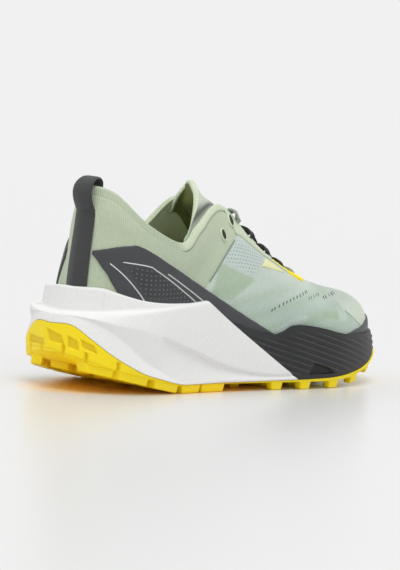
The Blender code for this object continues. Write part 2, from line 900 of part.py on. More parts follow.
def build_pull_loop():
    """Webbing sewn up the back of the heel, folded over the collar as a loop and held inside it."""
    across = [TAPE_WIDTH * (j / 4 - 0.5) for j in range(5)]
    away = GAP + TAPE_THICK / 2

    def line(level, distance):
        return [off_upper(heel_place(y, level), level, distance) for y in across]

    start = level_at(0.0, side_value(0.0)["clip"] + TAPE_ABOVE_CLIP)
    steps = [start + (LOOP_LEAVES - start) * i / TAPE_ROWS for i in range(TAPE_ROWS + 1)]
    sewn = [line(level, away) for level in steps]
    held = [line(level, -wall_at(0.0, level) - away - HOLD_CLEAR) for level in HOLD_LEVELS]
    lines = list(sewn)
    for i in range(1, LOOP_ROWS):
        share = i / LOOP_ROWS
        rest = 1.0 - share
        row = []
        for leave, hold in zip(sewn[-1], held[0]):
            rise = leave + Vector((-LOOP_BULGE, 0.0, LOOP_RISE))
            fall = hold + Vector((LOOP_FORWARD, 0.0, LOOP_DROP))
            row.append(
                leave * rest**3 + rise * (3 * rest**2 * share) + fall * (3 * rest * share**2) + hold * share**3
            )
        middle = row[2].x
        for point in row:
            point.x = middle + (point.x - middle) * (1.0 - math.sin(math.pi * share))
        lines.append(row)
    lines += held
    outer, inner = [], []
    for i, row in enumerate(lines):
        along = lines[min(i + 1, len(lines) - 1)][2] - lines[max(i - 1, 0)][2]
        side = Vector((-along.z, 0.0, along.x)).normalized() * (TAPE_THICK / 2)
        outer.append([point + side for point in row])
        inner.append([point - side for point in row])
    return solid("heel_pull_loop", "black_webbing", BLACK_WEBBING, sheet_solid(outer, inner))


EYELET_LEVEL = 0.90
FIRST_EYELET = 5.35
LAST_EYELET = 7.75
LACE_LIFT = 2.0
LACE_POINTS = 3
LACE_SHIFT = 0.05


def eyelet(pair, medial):
    """Place round the foot of an eyelet, counted from the top of the throat."""
    where = FIRST_EYELET + (LAST_EYELET - FIRST_EYELET) * pair / (LACE_PAIRS - 1)
    return SEGMENTS - where if medial else where


def lace_run(left, right):
    """Middle line of a lace from a lateral to a medial eyelet, over both edges and the tongue."""
    lift = OVERLAY_LIFT + EYESTAY_THICK + LACE_LIFT
    starts = [off_upper(left, EYELET_LEVEL, lift), off_upper(left, 1.0, lift)]
    ends = [off_upper(right, 1.0, lift), off_upper(right, EYELET_LEVEL, lift)]
    span = ends[0] - starts[1]
    rise = max(LACE_ARCH, open_run(CROWN, (left + SEGMENTS - right) / 2) - LACE_OVER_CROWN)
    middle = []
    for i in range(1, LACE_POINTS + 1):
        share = i / (LACE_POINTS + 1)
        arch = rise * 4 * share * (1.0 - share)
        middle.append(starts[1] + span * share + Vector((0, 0, arch)))
    return [*starts, *middle, *ends]


def lace_band(line):
    """Builder for a flat lace along a line."""
    outer, inner = [], []
    for i, point in enumerate(line):
        along = (line[min(i + 1, len(line) - 1)] - line[max(i - 1, 0)]).normalized()
        side = along.cross(Vector((0.35, 0.0, 1.0)).normalized()).normalized()
        up = side.cross(along).normalized() * (LACE_THICK / 2)
        wide = side * (LACE_WIDTH / 2)
        outer.append([point - wide + up, point + wide + up])
        inner.append([point - wide - up, point + wide - up])
    return sheet_solid(outer, inner)


def build_laces():
    """Straight bar at the foot of the throat and the crossings above it, all one lace."""
    last = LACE_PAIRS - 1
    runs = [lace_run(eyelet(last, False), eyelet(last, True))]
    for pair in range(last):
        runs.append(lace_run(eyelet(pair, False) + LACE_SHIFT, eyelet(pair + 1, True) + LACE_SHIFT))
        runs.append(lace_run(eyelet(pair + 1, False) - LACE_SHIFT, eyelet(pair, True) - LACE_SHIFT))

    def crossings(shape):
        for run in runs[1:]:
            lace_band(run)(shape)

    lace = solid("lace", "lace", CHARCOAL, lace_band(runs[0]))
    rest = solid("lace_cutter", "lace", CHARCOAL, crossings)
    rest.hide_render = True
    rest.display_type = "WIRE"
    join = lace.modifiers.new("crossings", "BOOLEAN")
    join.operation = "UNION"
    join.use_self = True
    join.object = rest
    return lace


def stand_at_base_centre(pieces):
    """Hangs every piece from one empty, moved so that the middle of the shoe's base is the origin."""
    bpy.context.view_layer.update()
    graph = bpy.context.evaluated_depsgraph_get()
    corners = []
    for piece in pieces:
        corners += [Vector(corner) for corner in piece.evaluated_get(graph).bound_box]
    low = [min(corner[axis] for corner in corners) for axis in range(3)]
    high = [max(corner[axis] for corner in corners) for axis in range(3)]
    root = bpy.data.objects.new("shoe", None)
    bpy.context.scene.collection.objects.link(root)
    root.location = (-(low[0] + high[0]) / 2, -(low[1] + high[1]) / 2, -low[2])
    for piece in bpy.context.scene.objects:
        if piece is not root:
            piece.parent = root


def main():
    for old in list(bpy.data.objects):
        bpy.data.objects.remove(old)
    pieces = [
        build_outsole(),
        build_midsole_rear(),
        build_midsole_front(),
        build_insole(),
        build_upper(),
        build_tongue(),
        panel("quarter_panel_lateral", "charcoal_film", CHARCOAL, QUARTER),
        panel("quarter_panel_medial", "charcoal_film", CHARCOAL, QUARTER_MEDIAL, mirrored=True),
        panel("toe_bumper", "charcoal_rubber", CHARCOAL, BUMPER),
        rim_band("eyestay_lateral", "sage_trim", SAGE_TRIM, 5.1, 7.9, 0.84, 0.985, 12, EYESTAY_THICK),
        rim_band("eyestay_medial", "sage_trim", SAGE_TRIM, 12.1, 14.9, 0.84, 0.985, 12, EYESTAY_THICK),
        rim_band("throat_tab", "yellow_trim", YELLOW_RUBBER, 8.0, 12.0, 0.87, 0.985, 16, EYESTAY_THICK),
        build_pull_loop(),
        build_laces(),
    ]
    stand_at_base_centre(pieces)


main()
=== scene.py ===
"""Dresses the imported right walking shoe: knit upper, films, foams, rubber, tongue, laces, light and camera.

Shapes are laid out in millimetres in the maker's frame: heel at x = 0, toe along +X, outer side facing -Y.
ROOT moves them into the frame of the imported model. Places round the foot are counted in stations, from 0 at
the heel over the outer side to 10 at the toe and back along the inner side; levels run up the upper's wall
from 0 at the footbed to 1 at the rim.
"""

import math
from collections import namedtuple

import bmesh
import bpy
import numpy as np
from mathutils import Matrix, Vector


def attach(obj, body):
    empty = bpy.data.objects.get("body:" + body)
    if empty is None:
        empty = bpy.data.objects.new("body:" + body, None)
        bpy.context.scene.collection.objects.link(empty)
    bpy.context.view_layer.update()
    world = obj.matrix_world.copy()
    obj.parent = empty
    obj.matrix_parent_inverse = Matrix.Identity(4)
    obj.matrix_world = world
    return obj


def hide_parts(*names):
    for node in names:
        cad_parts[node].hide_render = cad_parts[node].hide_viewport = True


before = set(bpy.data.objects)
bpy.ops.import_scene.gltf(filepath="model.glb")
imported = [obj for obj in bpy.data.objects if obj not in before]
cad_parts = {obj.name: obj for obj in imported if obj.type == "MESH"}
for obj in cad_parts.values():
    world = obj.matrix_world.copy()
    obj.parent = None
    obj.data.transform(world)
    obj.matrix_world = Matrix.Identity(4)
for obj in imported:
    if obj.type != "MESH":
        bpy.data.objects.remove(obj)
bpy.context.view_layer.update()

MM = 0.001
ROOT = np.array((-150.45, 0.767, 0.0))

# Sizes shared with the solids
LENGTH = 301.0
BALL_WIDTH = 107.0
HEEL_HEIGHT = 120.0
GAP = 0.3
LUG_HEIGHT = 4.0
PLATE = 2.6
RUBBER_WALL = 2.4
TREAD_INSET = 6.0
TREAD_CORNER = 1.6
TREAD_EDGE = 0.6
HEEL_BEVEL = 14.5
HEEL_BEVEL_RUN = 76.0
HEEL_BEVEL_EASE = 0.12
TOE_SPRING = 22.0
TOE_BREAK = 203.0
WING_TOP = (93.0, 55.5)
WING_FOOT = (176.0, 7.2)
RAND_WALL = 2.8
FOAM_SETBACK = 0.5
FRONT_SETBACK = 1.6
UPPER_WALL = 2.0
COLLAR_WALL = 4.6
INSOLE_THICK = 4.4
TONGUE_THICK = 4.2
TAPE_WIDTH = 15.0
TAPE_THICK = 1.5
LACE_WIDTH = 5.6
LACE_THICK = 1.5
LACE_PAIRS = 5
SEGMENTS = 20

# Plan outline of the sole, as shares of the length and of the ball width
Station = namedtuple("Station", "along lateral medial")
STATIONS = (
    Station(0.000, 0.000, 0.000),
    Station(0.050, -0.285, 0.305),
    Station(0.143, -0.397, 0.395),
    Station(0.249, -0.411, 0.393),
    Station(0.375, -0.411, 0.380),
    Station(0.502, -0.449, 0.400),
    Station(0.628, -0.495, 0.449),
    Station(0.748, -0.505, 0.495),
    Station(0.867, -0.421, 0.467),
    Station(0.953, -0.243, 0.336),
    Station(1.000, 0.075, 0.075),
)

# Rim of the collar and throat, as shares of the length, the ball width and the heel height
Rim = namedtuple("Rim", "along lateral height medial_along medial medial_height")
RIM = (
    Rim(0.076, 0.000, 0.990, 0.076, 0.000, 0.990),
    Rim(0.100, -0.152, 0.963, 0.104, 0.125, 0.962),
    Rim(0.154, -0.290, 0.822, 0.170, 0.278, 0.785),
    Rim(0.243, -0.336, 0.740, 0.269, 0.330, 0.720),
    Rim(0.304, -0.298, 0.830, 0.352, 0.297, 0.752),
    Rim(0.402, -0.205, 0.932, 0.440, 0.212, 0.942),
    Rim(0.515, -0.165, 0.775, 0.528, 0.175, 0.770),
    Rim(0.610, -0.143, 0.639, 0.614, 0.153, 0.639),
    Rim(0.684, -0.108, 0.558, 0.684, 0.122, 0.558),
    Rim(0.730, -0.055, 0.512, 0.730, 0.070, 0.512),
    Rim(0.745, 0.010, 0.504, 0.745, 0.010, 0.504),
)

# Sections of the upper: inset of its foot, and the two handles of the curve up to the rim
Section = namedtuple("Section", "inset belly lift shoulder drop")
SECTIONS = (
    Section(19.0, 3.0, 34.0, 0.5, 30.0),
    Section(20.0, 3.5, 32.0, 1.0, 28.0),
    Section(10.0, 4.0, 26.0, 2.0, 24.0),
    Section(7.5, 4.0, 22.0, 3.0, 18.0),
    Section(7.5, 4.0, 24.0, 9.0, 24.0),
    Section(7.5, 3.5, 26.0, 14.0, 18.0),
    Section(7.0, 4.0, 24.0, 18.0, 12.0),
    Section(7.0, 4.0, 22.0, 20.0, 8.0),
    Section(7.5, 4.5, 22.0, 28.0, 2.0),
    Section(8.0, 5.0, 22.0, 39.0, -0.5),
    Section(9.0, 6.0, 22.5, 48.0, 1.0),
)

# Side of the rear foam: its creases, the strip and the scoop between them, ledge and heel clip
Side = namedtuple("Side", "ridge proud strip scoop ledge inset clip wall")
SIDES = (
    Side(0.84, 0.95, 0.8, 0.2, 45.0, 4.5, 60.4, 7.5),
    Side(0.60, 0.80, 2.0, 0.4, 46.4, 4.0, 60.6, 7.0),
    Side(0.19, 0.67, 2.2, 0.9, 49.5, 1.5, 55.0, 3.6),
    Side(0.03, 0.48, 0.6, 2.6, 52.4, 1.0, 54.2, 2.6),
    Side(0.03, 0.225, 0.0, 2.4, 54.6, 1.0, 56.4, 2.6),
    Side(0.03, 0.10, 0.0, 1.4, 52.0, 1.0, 53.6, 2.6),
    Side(0.03, 0.10, 0.0, 1.0, 50.0, 1.0, 51.6, 2.6),
    Side(0.03, 0.10, 0.0, 1.0, 48.0, 1.0, 49.6, 2.6),
    Side(0.03, 0.10, 0.0, 1.0, 46.0, 1.0, 47.6, 2.6),
    Side(0.03, 0.10, 0.0, 1.0, 46.0, 1.0, 47.6, 2.6),
    Side(0.03, 0.10, 0.0, 1.0, 46.0, 1.0, 47.6, 2.6),
)

# Tables of (place, value): rubber wrap, rand height, footbed by share of length, crown of the tongue
WRAP = (
    (0.00, 17.8), (0.42, 18.3), (0.75, 12.4), (1.08, 6.9), (1.45, 2.9), (1.90, -0.3), (2.40, -0.9),
    (3.20, -1.4), (4.50, -1.2), (6.00, -0.4), (7.00, 0.5), (8.00, 0.5), (10.0, 0.0),
)
RAND = (
    (3.00, 50.0), (4.00, 43.5), (4.80, 36.4), (5.20, 34.5), (5.38, 35.8), (5.62, 39.6), (5.92, 39.8),
    (6.40, 37.5), (6.82, 34.6), (7.20, 33.3), (8.00, 33.0), (9.00, 34.0), (10.0, 36.0),
)
FOOTBED = (
    (0.00, 34.5), (0.20, 33.2), (0.40, 31.0), (0.60, 27.2), (0.75, 25.8), (0.88, 28.0), (1.00, 33.0),
)
CROWN = ((5.25, 3.8), (5.80, 3.4), (6.50, 1.8), (7.50, 0.9), (8.70, 0.3))

# Edges of the films: station, low and high
Edge = namedtuple("Edge", "station low high")
QUARTER = (
    Edge(0.50, 79.9, 82.2), Edge(0.80, 72.6, 83.6), Edge(1.20, 62.9, 85.5), Edge(1.55, 54.5, 86.9),
    Edge(1.70, 52.0, 87.6), Edge(2.05, 51.0, 85.6), Edge(2.60, 51.5, 76.8), Edge(3.10, 53.0, 69.6),
    Edge(3.40, 54.5, 65.8), Edge(3.70, 50.5, 61.5), Edge(4.00, 44.0, 56.4), Edge(4.50, 37.5, 47.2),
    Edge(4.80, 34.0, 41.6), Edge(5.05, 32.5, 37.2), Edge(5.28, 31.5, 33.6),
)
QUARTER_MEDIAL = (Edge(1.05, 75.0, 80.5), *QUARTER[4:])
BUMPER = (
    Edge(7.15, 32.0, 33.4), Edge(7.50, 32.0, 35.4), Edge(7.95, 32.0, 37.6), Edge(8.30, 32.0, 40.0),
    Edge(9.00, 33.0, 43.0), Edge(10.0, 34.5, 44.5), Edge(11.0, 33.0, 43.0), Edge(11.7, 32.0, 40.0),
    Edge(12.05, 32.0, 37.6), Edge(12.5, 32.0, 35.4), Edge(12.85, 32.0, 33.4),
)

# Lines and fields on the side, as distances from the heel and heights
SEAM = (
    (142.0, 112.0), (133.0, 98.0), (126.0, 91.5), (119.0, 86.6), (110.5, 79.6), (103.0, 72.7),
    (96.3, 66.3), (88.0, 57.0),
)
HOLE_FIELD = ((110.0, 79.6), (139.5, 70.6), (155.0, 81.0), (128.0, 91.0))
MINT_FIELD = ((106.0, 79.0), (140.5, 68.6), (160.0, 82.0), (127.0, 94.0))
TOE_LINE = ((224.0, 56.0), (231.1, 48.0), (238.9, 43.7), (245.1, 40.5), (254.0, 36.8))

# Stations between which lines on the side are looked for, and the level where the collar's padding starts
SIDE_SPAN = (0.3, 9.7)
PAD_FOOT = 0.35


def spline(before, start, end, after, share):
    """Smooth value between start and end, on the curve through four neighbours."""
    return 0.5 * (
        2 * start
        + (end - before) * share
        + (2 * before - 5 * start + 4 * end - after) * share**2
        + (3 * start - before - 3 * end + after) * share**3
    )


def closed_run(knots, where):
    """Values on the closed smooth run through the knots, counted in knots."""
    where = np.asarray(where, float)
    first = np.floor(where).astype(int)
    near = [knots[(first + step) % len(knots)] for step in (-1, 0, 1, 2)]
    return spline(*near, where - first)


def open_run(table, place):
    """Values on a table of (place, value) pairs, smooth between them and held at the ends."""
    places, values = np.array(table, float).T
    place = np.clip(place, places[0], places[-1])
    first = np.clip(np.searchsorted(places, place, side="right") - 1, 0, len(places) - 2)
    share = (place - places[first]) / (places[first + 1] - places[first])
    near = [values[np.clip(first + step, 0, len(values) - 1)] for step in (-1, 0, 1, 2)]
    return spline(*near, share)


def knots_of(table, lateral, medial=None):
    """Knots round the foot from a column of the outer side and one of the inner side."""
    outer = [getattr(row, lateral) for row in table]
    inner = [getattr(row, medial or lateral) for row in table]
    return np.array(outer + inner[-2:0:-1], float)


OUTLINE_X = LENGTH * knots_of(STATIONS, "along")
OUTLINE_Y = BALL_WIDTH * knots_of(STATIONS, "lateral", "medial")
RIM_X = LENGTH * knots_of(RIM, "along", "medial_along")
RIM_Y = BALL_WIDTH * knots_of(RIM, "lateral", "medial")
RIM_Z = HEEL_HEIGHT * knots_of(RIM, "height", "medial_height")
SECTION = {name: knots_of(SECTIONS, name) for name in Section._fields}
SIDE = {name: knots_of(SIDES, name) for name in Side._fields}


def unit(vectors):
    return vectors / np.maximum(np.linalg.norm(vectors, axis=-1, keepdims=True), 1e-9)


def ease(low, high, value):
    """0 below low, 1 above high, smooth between."""
    share = np.clip((value - low) / (high - low), 0.0, 1.0)
    return share * share * (3.0 - 2.0 * share)


def hump(value, middle, width):
    """1 at the middle, falling off smoothly over the width."""
    return np.exp(-(((value - middle) / width) ** 2))


def station(where):
    """Stations counted from the heel, the same on both sides."""
    where = np.mod(where, SEGMENTS)
    return np.minimum(where, SEGMENTS - where)


def facing(place, medial):
    """Place on the outer side, or the one that faces it on the inner side."""
    return SEGMENTS - place if medial else place


def dome(place, power):
    """1 over most of the span from -1 to 1, rounded off to 0 at both ends; a high power keeps it flat."""
    return np.sqrt(np.clip(1.0 - np.abs(place) ** power, 0.0, 1.0))


def bezier(start, first, second, end, share):
    rest = 1.0 - share
    return start * rest**3 + first * (3 * rest**2 * share) + second * (3 * rest * share**2) + end * share**3


def search(low, high, short, rounds=22):
    """Values at which short turns from true to false, found by halving the span."""
    for _ in range(rounds):
        middle = (low + high) / 2
        keep = short(middle)
        low, high = np.where(keep, middle, low), np.where(keep, high, middle)
    return low


def ground(x):
    """Height of the tread above the floor, less its lugs: bevelled at the heel, sprung at the toe."""
    heel = np.maximum(0.0, (HEEL_BEVEL_RUN - x) / HEEL_BEVEL_RUN)
    toe = np.maximum(0.0, (x - TOE_BREAK) / (LENGTH - TOE_BREAK))
    eased = heel**2 * (1.0 + HEEL_BEVEL_EASE) / (heel + HEEL_BEVEL_EASE)
    return HEEL_BEVEL * eased + TOE_SPRING * toe**2


def footbed(x):
    return open_run([(share * LENGTH, height) for share, height in FOOTBED], x)


def side(name, where):
    return closed_run(SIDE[name], where)


def outward(where, step=0.05):
    """Level direction that leaves the sole's outline at right angles."""
    along_x = closed_run(OUTLINE_X, where + step) - closed_run(OUTLINE_X, where - step)
    along_y = closed_run(OUTLINE_Y, where + step) - closed_run(OUTLINE_Y, where - step)
    return unit(np.stack([along_y, -along_x, np.zeros_like(along_x)], axis=-1))


def outline(where, inset=0.0, z=0.0):
    """Points on the sole's outline, moved in from it."""
    where = np.asarray(where, float)
    x, y = closed_run(OUTLINE_X, where), closed_run(OUTLINE_Y, where)
    spot = np.stack([x, y, np.zeros_like(where)], axis=-1)
    spot = spot - outward(where) * np.broadcast_to(inset, where.shape)[..., None]
    spot[..., 2] = z
    return spot


def upper(where, level):
    """Outer face of the upper."""
    where, level = np.broadcast_arrays(np.asarray(where, float), np.asarray(level, float))
    size = {name: closed_run(knots, where)[..., None] for name, knots in SECTION.items()}
    out = outward(where)
    up = np.array((0.0, 0.0, 1.0))
    foot = outline(where, size["inset"][..., 0])
    foot[..., 2] = footbed(foot[..., 0]) + GAP
    rim = np.stack([closed_run(knots, where) for knots in (RIM_X, RIM_Y, RIM_Z)], axis=-1)
    low = foot + out * size["belly"] + up * size["lift"]
    high = rim + out * size["shoulder"] - up * size["drop"]
    return bezier(foot, low, high, rim, level[..., None])


def upper_normal(where, level, step=0.02):
    where, level = np.broadcast_arrays(np.asarray(where, float), np.asarray(level, float))
    rise = upper(where, np.minimum(level + step, 1.0)) - upper(where, np.maximum(level - step, 0.0))
    turn = upper(where + step, level) - upper(where - step, level)
    return unit(np.cross(turn, rise))


def off_upper(where, level, distance):
    distance = np.asarray(distance, float)
    return upper(where, level) + upper_normal(where, level) * distance[..., None]


def level_at(where, height):
    """Level at which the upper reaches a height."""
    where, height = np.broadcast_arrays(np.asarray(where, float), np.asarray(height, float))

    def below(level):
        return upper(where, level)[..., 2] < height

    return search(np.zeros(where.shape), np.ones(where.shape), below)


def on_side(points, medial=False):
    """Places and levels of points on the upper's side, given as distances from the heel and heights."""
    x, z = np.array(points, float).T

    def behind(place):
        where = facing(place, medial)
        return upper(where, level_at(where, z))[..., 0] < x

    low, high = (np.full(x.shape, end) for end in SIDE_SPAN)
    where = facing(search(low, high, behind), medial)
    return where, level_at(where, z)


def along_line(points, spacing):
    """Points on a smooth line through the given ones, at an even spacing."""
    points = np.array(points, float)
    steps = np.linalg.norm(np.diff(points, axis=0), axis=1)
    at = np.concatenate([[0.0], np.cumsum(steps)])
    fine = np.linspace(0.0, at[-1], max(3, int(at[-1] / spacing) + 1))
    return np.stack([open_run(np.stack([at, column], axis=1), fine) for column in points.T], axis=1)


def from_line(x, z, points):
    """Distance from a line on the side, and its sign: positive ahead of a line that runs down the side."""
    best = np.full(np.shape(x), 1e9)
    sign = np.zeros(np.shape(x))
    for (x0, z0), (x1, z1) in zip(points, points[1:]):
        dx, dz = x1 - x0, z1 - z0
        share = np.clip(((x - x0) * dx + (z - z0) * dz) / (dx * dx + dz * dz), 0.0, 1.0)
        off_x, off_z = x - x0 - share * dx, z - z0 - share * dz
        away = np.hypot(off_x, off_z)
        nearer = away < best
        best = np.where(nearer, away, best)
        sign = np.where(nearer, np.sign(dx * off_z - dz * off_x), sign)
    return best * sign


def inside(x, z, corners, soft):
    """1 within a convex field of the side given counter-clockwise, 0 outside, with a soft edge."""
    depth = np.full(np.shape(x), 1e9)
    for (x0, z0), (x1, z1) in zip(corners, corners[1:] + corners[:1]):
        dx, dz = x1 - x0, z1 - z0
        depth = np.minimum(depth, (dx * (z - z0) - dz * (x - x0)) / math.hypot(dx, dz))
    return ease(-soft, soft, depth)


def wall_at(where, level):
    """Thickness of the upper's wall: padded at the collar, thin over the foot."""
    back = np.maximum(0.0, np.cos(2.0 * math.pi * station(where) / SEGMENTS))
    pad = np.maximum(0.0, (level - PAD_FOOT) / (1.0 - PAD_FOOT))
    return UPPER_WALL + (COLLAR_WALL - UPPER_WALL) * np.sqrt(back) * pad


def rgb(red, green, blue):
    """Linear colour of a screen colour."""
    shares = np.array((red, green, blue)) / 255.0
    return np.where(shares <= 0.04045, shares / 12.92, ((shares + 0.055) / 1.055) ** 2.4)


# Colours
SAGE = rgb(176, 189, 164)
SAGE_LIGHT = rgb(196, 207, 181)
MINT = rgb(197, 210, 199)
MINT_PALE = rgb(194, 207, 201)
MINT_LOW = rgb(180, 198, 185)
MINT_TOP = rgb(174, 186, 177)
TOE_FILM = rgb(205, 213, 199)
GREEN = rgb(163, 184, 155)
BINDING = rgb(203, 214, 187)
OLIVE = rgb(238, 248, 220)
OLIVE_DEEP = rgb(150, 160, 80)
OLIVE_SHADE = rgb(104, 114, 52)
CHARCOAL = rgb(64, 66, 69)
PANEL = rgb(40, 41, 42)
FOAM_DARK = rgb(35, 36, 38)
# Painted highlight on the dark foam's rib edges
FOAM_HIGHLIGHT = rgb(92, 93, 95)
WHITE = rgb(234, 234, 233)
YELLOW = rgb(254, 228, 8)
# Painted shade in the rubber's recesses and grooves
YELLOW_PAINTED_SHADE = rgb(214, 174, 8)
CREAM = rgb(226, 222, 172)
TAPE = rgb(66, 67, 67)
PIPING = rgb(212, 214, 211)
TONGUE_GREY = rgb(196, 203, 190)
# Painted shadow of the gap between the tongue and the collar
GAP_SHADE = rgb(84, 90, 80)
LACE_DARK = rgb(44, 45, 46)
LACE_PALE = rgb(160, 171, 160)
PINHOLE = rgb(140, 152, 156)
SPECK = rgb(104, 106, 108)
FOAM_SPECK = rgb(200, 201, 201)
SLIT_SHADE = rgb(84, 93, 88)
HOLE_SHADE = rgb(40, 44, 38)
SEAM_SHADE = rgb(130, 145, 130)

# Patches of the side: corners as distances from the heel and heights, tone and its strength
PATCHES = (
    (((202.0, 44.2), (219.5, 42.4), (222.0, 47.9), (204.5, 47.6)), GREEN, 0.8),
    (((222.5, 42.0), (231.0, 40.5), (231.5, 45.0), (223.5, 47.5)), MINT_PALE, 0.6),
    (((158.0, 36.0), (166.0, 35.5), (190.0, 45.0), (180.0, 46.5)), MINT_PALE, 0.8),
    (((168.0, 35.5), (180.0, 36.5), (206.0, 43.0), (194.0, 44.5)), GREEN, 0.5),
    (((98.0, 58.0), (118.0, 55.0), (141.0, 68.0), (107.0, 78.5)), GREEN, 0.7),
)


class Finish:
    """Principled material whose colour, roughness and relief come from nodes."""

    def __init__(self, name, roughness, **constants):
        self.material = bpy.data.materials.new(name)
        self.material.use_nodes = True
        self.tree = self.material.node_tree
        self.shader = self.tree.nodes["Principled BSDF"]
        self.shader.inputs["Roughness"].default_value = roughness
        for socket, value in constants.items():
            self.shader.inputs[socket.replace("_", " ")].default_value = value

    def feed(self, node, socket, value):
        target = node.inputs[socket]
        if isinstance(value, bpy.types.NodeSocket):
            self.tree.links.new(value, target)
        else:
            target.default_value = value

    def node(self, kind, inputs, output=0, **settings):
        made = self.tree.nodes.new(kind)
        for name, value in settings.items():
            setattr(made, name, value)
        for socket, value in inputs.items():
            self.feed(made, socket, value)
        return made.outputs[output]

    def math(self, operation, one, two=0.0):
        return self.node("ShaderNodeMath", {0: one, 1: two}, operation=operation)

    def weigh(self, one, two, share):
        """Sum of two values, the first by its share and the second by the rest."""
        return self.math("ADD", self.math("MULTIPLY", one, share), self.math("MULTIPLY", two, 1.0 - share))

    def axes(self):
        """Distances round and up the piece, in millimetres."""
        weave = self.node("ShaderNodeUVMap", {}, uv_map="weave")
        split = self.node("ShaderNodeSeparateXYZ", {0: weave}).node
        return split.outputs[0], split.outputs[1]

    def wave(self, distance, pitch):
        """Wave from 0 to 1 along a distance."""
        turn = self.math("SINE", self.math("MULTIPLY", distance, 2.0 * math.pi / pitch))
        return self.math("ADD", self.math("MULTIPLY", turn, 0.5), 0.5)

    def noise(self, scale, detail=3.0, rough=0.55):
        place = self.node("ShaderNodeTexCoord", {}, 3)
        return self.node(
            "ShaderNodeTexNoise", {"Vector": place, "Scale": scale, "Detail": detail, "Roughness": rough}
        )

    def spread(self, value, low, high, start=0.0, end=1.0):
        """Value taken from one range to another."""
        return self.node("ShaderNodeMapRange", {0: value, 1: low, 2: high, 3: start, 4: end})

    def paint(self):
        return self.node("ShaderNodeAttribute", {}, attribute_name="paint")

    def mark(self):
        return self.node("ShaderNodeAttribute", {}, 2, attribute_name="mark")

    def mix(self, share, one, two):
        return self.node("ShaderNodeMix", {0: share, 6: one, 7: two}, 2, data_type="RGBA")

    def finish(self, colour, roughness=None, height=None, depth=0.2):
        """Links the results; depth is the relief's height in millimetres."""
        self.feed(self.shader, "Base Color", colour)
        if roughness is not None:
            self.feed(self.shader, "Roughness", roughness)
        if height is not None:
            bump = self.node("ShaderNodeBump", {"Strength": 1.0, "Distance": depth * MM, "Height": height})
            self.feed(self.shader, "Normal", bump)
        return self.material


def opaque(colour):
    return (*[float(part) for part in colour], 1.0)


def shaded(finish, colour, share, amount):
    """Colour made lighter and darker by a value from 0 to 1."""
    tone = finish.spread(share, 0.0, 1.0, 1.0 - amount, 1.0 + amount)
    if isinstance(colour, tuple):
        colour = colour[:3]
    return finish.node("ShaderNodeVectorMath", {0: colour, 3: tone}, operation="SCALE")


def knit_finish():
    """Fine ribbed knit, with a field of pinholes where the mark says so."""
    knit = Finish("sage_knit", 0.86, Sheen_Weight=0.2, Sheen_Roughness=0.5, Specular_IOR_Level=0.25)
    around, up = knit.axes()
    ribs = knit.wave(around, 1.35)
    courses = knit.wave(up, 0.95)
    loops = knit.weigh(ribs, courses, 0.7)
    cloud = knit.noise(420.0)
    colour = shaded(knit, knit.paint(), knit.weigh(loops, cloud, 0.45), 0.17)
    dots = knit.math("MULTIPLY", knit.wave(around, 2.7), knit.wave(up, 2.7))
    holes = knit.math("MULTIPLY", knit.spread(dots, 0.60, 0.80), knit.mark())
    colour = knit.mix(holes, colour, opaque(PINHOLE))
    height = knit.math("SUBTRACT", loops, holes)
    return knit.finish(colour, knit.spread(cloud, 0.3, 0.7, 0.78, 0.94), height, 0.22)


def lining_finish():
    """Brushed olive textile."""
    lining = Finish("olive_lining", 0.92, Sheen_Weight=0.15, Specular_IOR_Level=0.2)
    around, up = lining.axes()
    grid = lining.math("MULTIPLY", lining.wave(around, 1.1), lining.wave(up, 1.1))
    cloud = lining.noise(500.0)
    colour = shaded(lining, lining.paint(), lining.weigh(grid, cloud, 0.5), 0.18)
    return lining.finish(colour, lining.spread(cloud, 0.3, 0.7, 0.85, 0.97), grid, 0.2)


def film_finish():
    """Satin bonded film, with raised specks where the mark says so."""
    film = Finish("charcoal_film", 0.5, Specular_IOR_Level=0.4, Coat_Weight=0.06, Coat_Roughness=0.35)
    around, up = film.axes()
    grain = film.noise(1500.0)
    cloud = film.noise(90.0, 2.0)
    lattice = film.math("MULTIPLY", film.wave(around, 3.1), film.wave(up, 2.7))
    specks = film.math("MULTIPLY", film.spread(lattice, 0.66, 0.86), film.mark())
    colour = shaded(film, opaque(CHARCOAL), cloud, 0.2)
    colour = film.mix(film.math("MULTIPLY", film.mark(), 0.5), colour, opaque(PANEL))
    colour = film.mix(specks, colour, opaque(SPECK))
    height = film.math("ADD", film.math("MULTIPLY", grain, 0.4), specks)
    return film.finish(colour, film.spread(grain, 0.3, 0.7, 0.42, 0.58), height, 0.12)


def plain_finish(name, colour, roughness, grain, depth, amount, **constants):
    """Smooth moulded or bonded stuff with a fine grain and a slight change of tone."""
    made = Finish(name, roughness, **constants)
    fine = made.noise(grain)
    broad = made.noise(60.0, 2.0)
    toned = shaded(made, opaque(colour), made.weigh(fine, broad, 0.5), amount)
    return made.finish(toned, made.spread(fine, 0.3, 0.7, roughness - 0.07, roughness + 0.07), fine, depth)


def foam_finish():
    """White foam with fine grey specks."""
    foam = Finish("white_foam", 0.62, Specular_IOR_Level=0.35)
    fine = foam.noise(2400.0)
    beads = foam.noise(900.0, 1.0)
    specks = foam.spread(beads, 0.62, 0.72)
    colour = shaded(foam, opaque(WHITE), fine, 0.03)
    colour = foam.mix(foam.math("MULTIPLY", specks, 0.3), colour, opaque(FOAM_SPECK))
    return foam.finish(colour, foam.spread(fine, 0.3, 0.7, 0.55, 0.7), beads, 0.1)


def painted_finish(name, roughness, grain, depth, **constants):
    """Moulded stuff whose tones are painted on the piece."""
    made = Finish(name, roughness, **constants)
    fine = made.noise(grain)
    colour = shaded(made, made.paint(), fine, 0.07)
    return made.finish(colour, made.spread(fine, 0.3, 0.7, roughness - 0.08, roughness + 0.08), fine, depth)


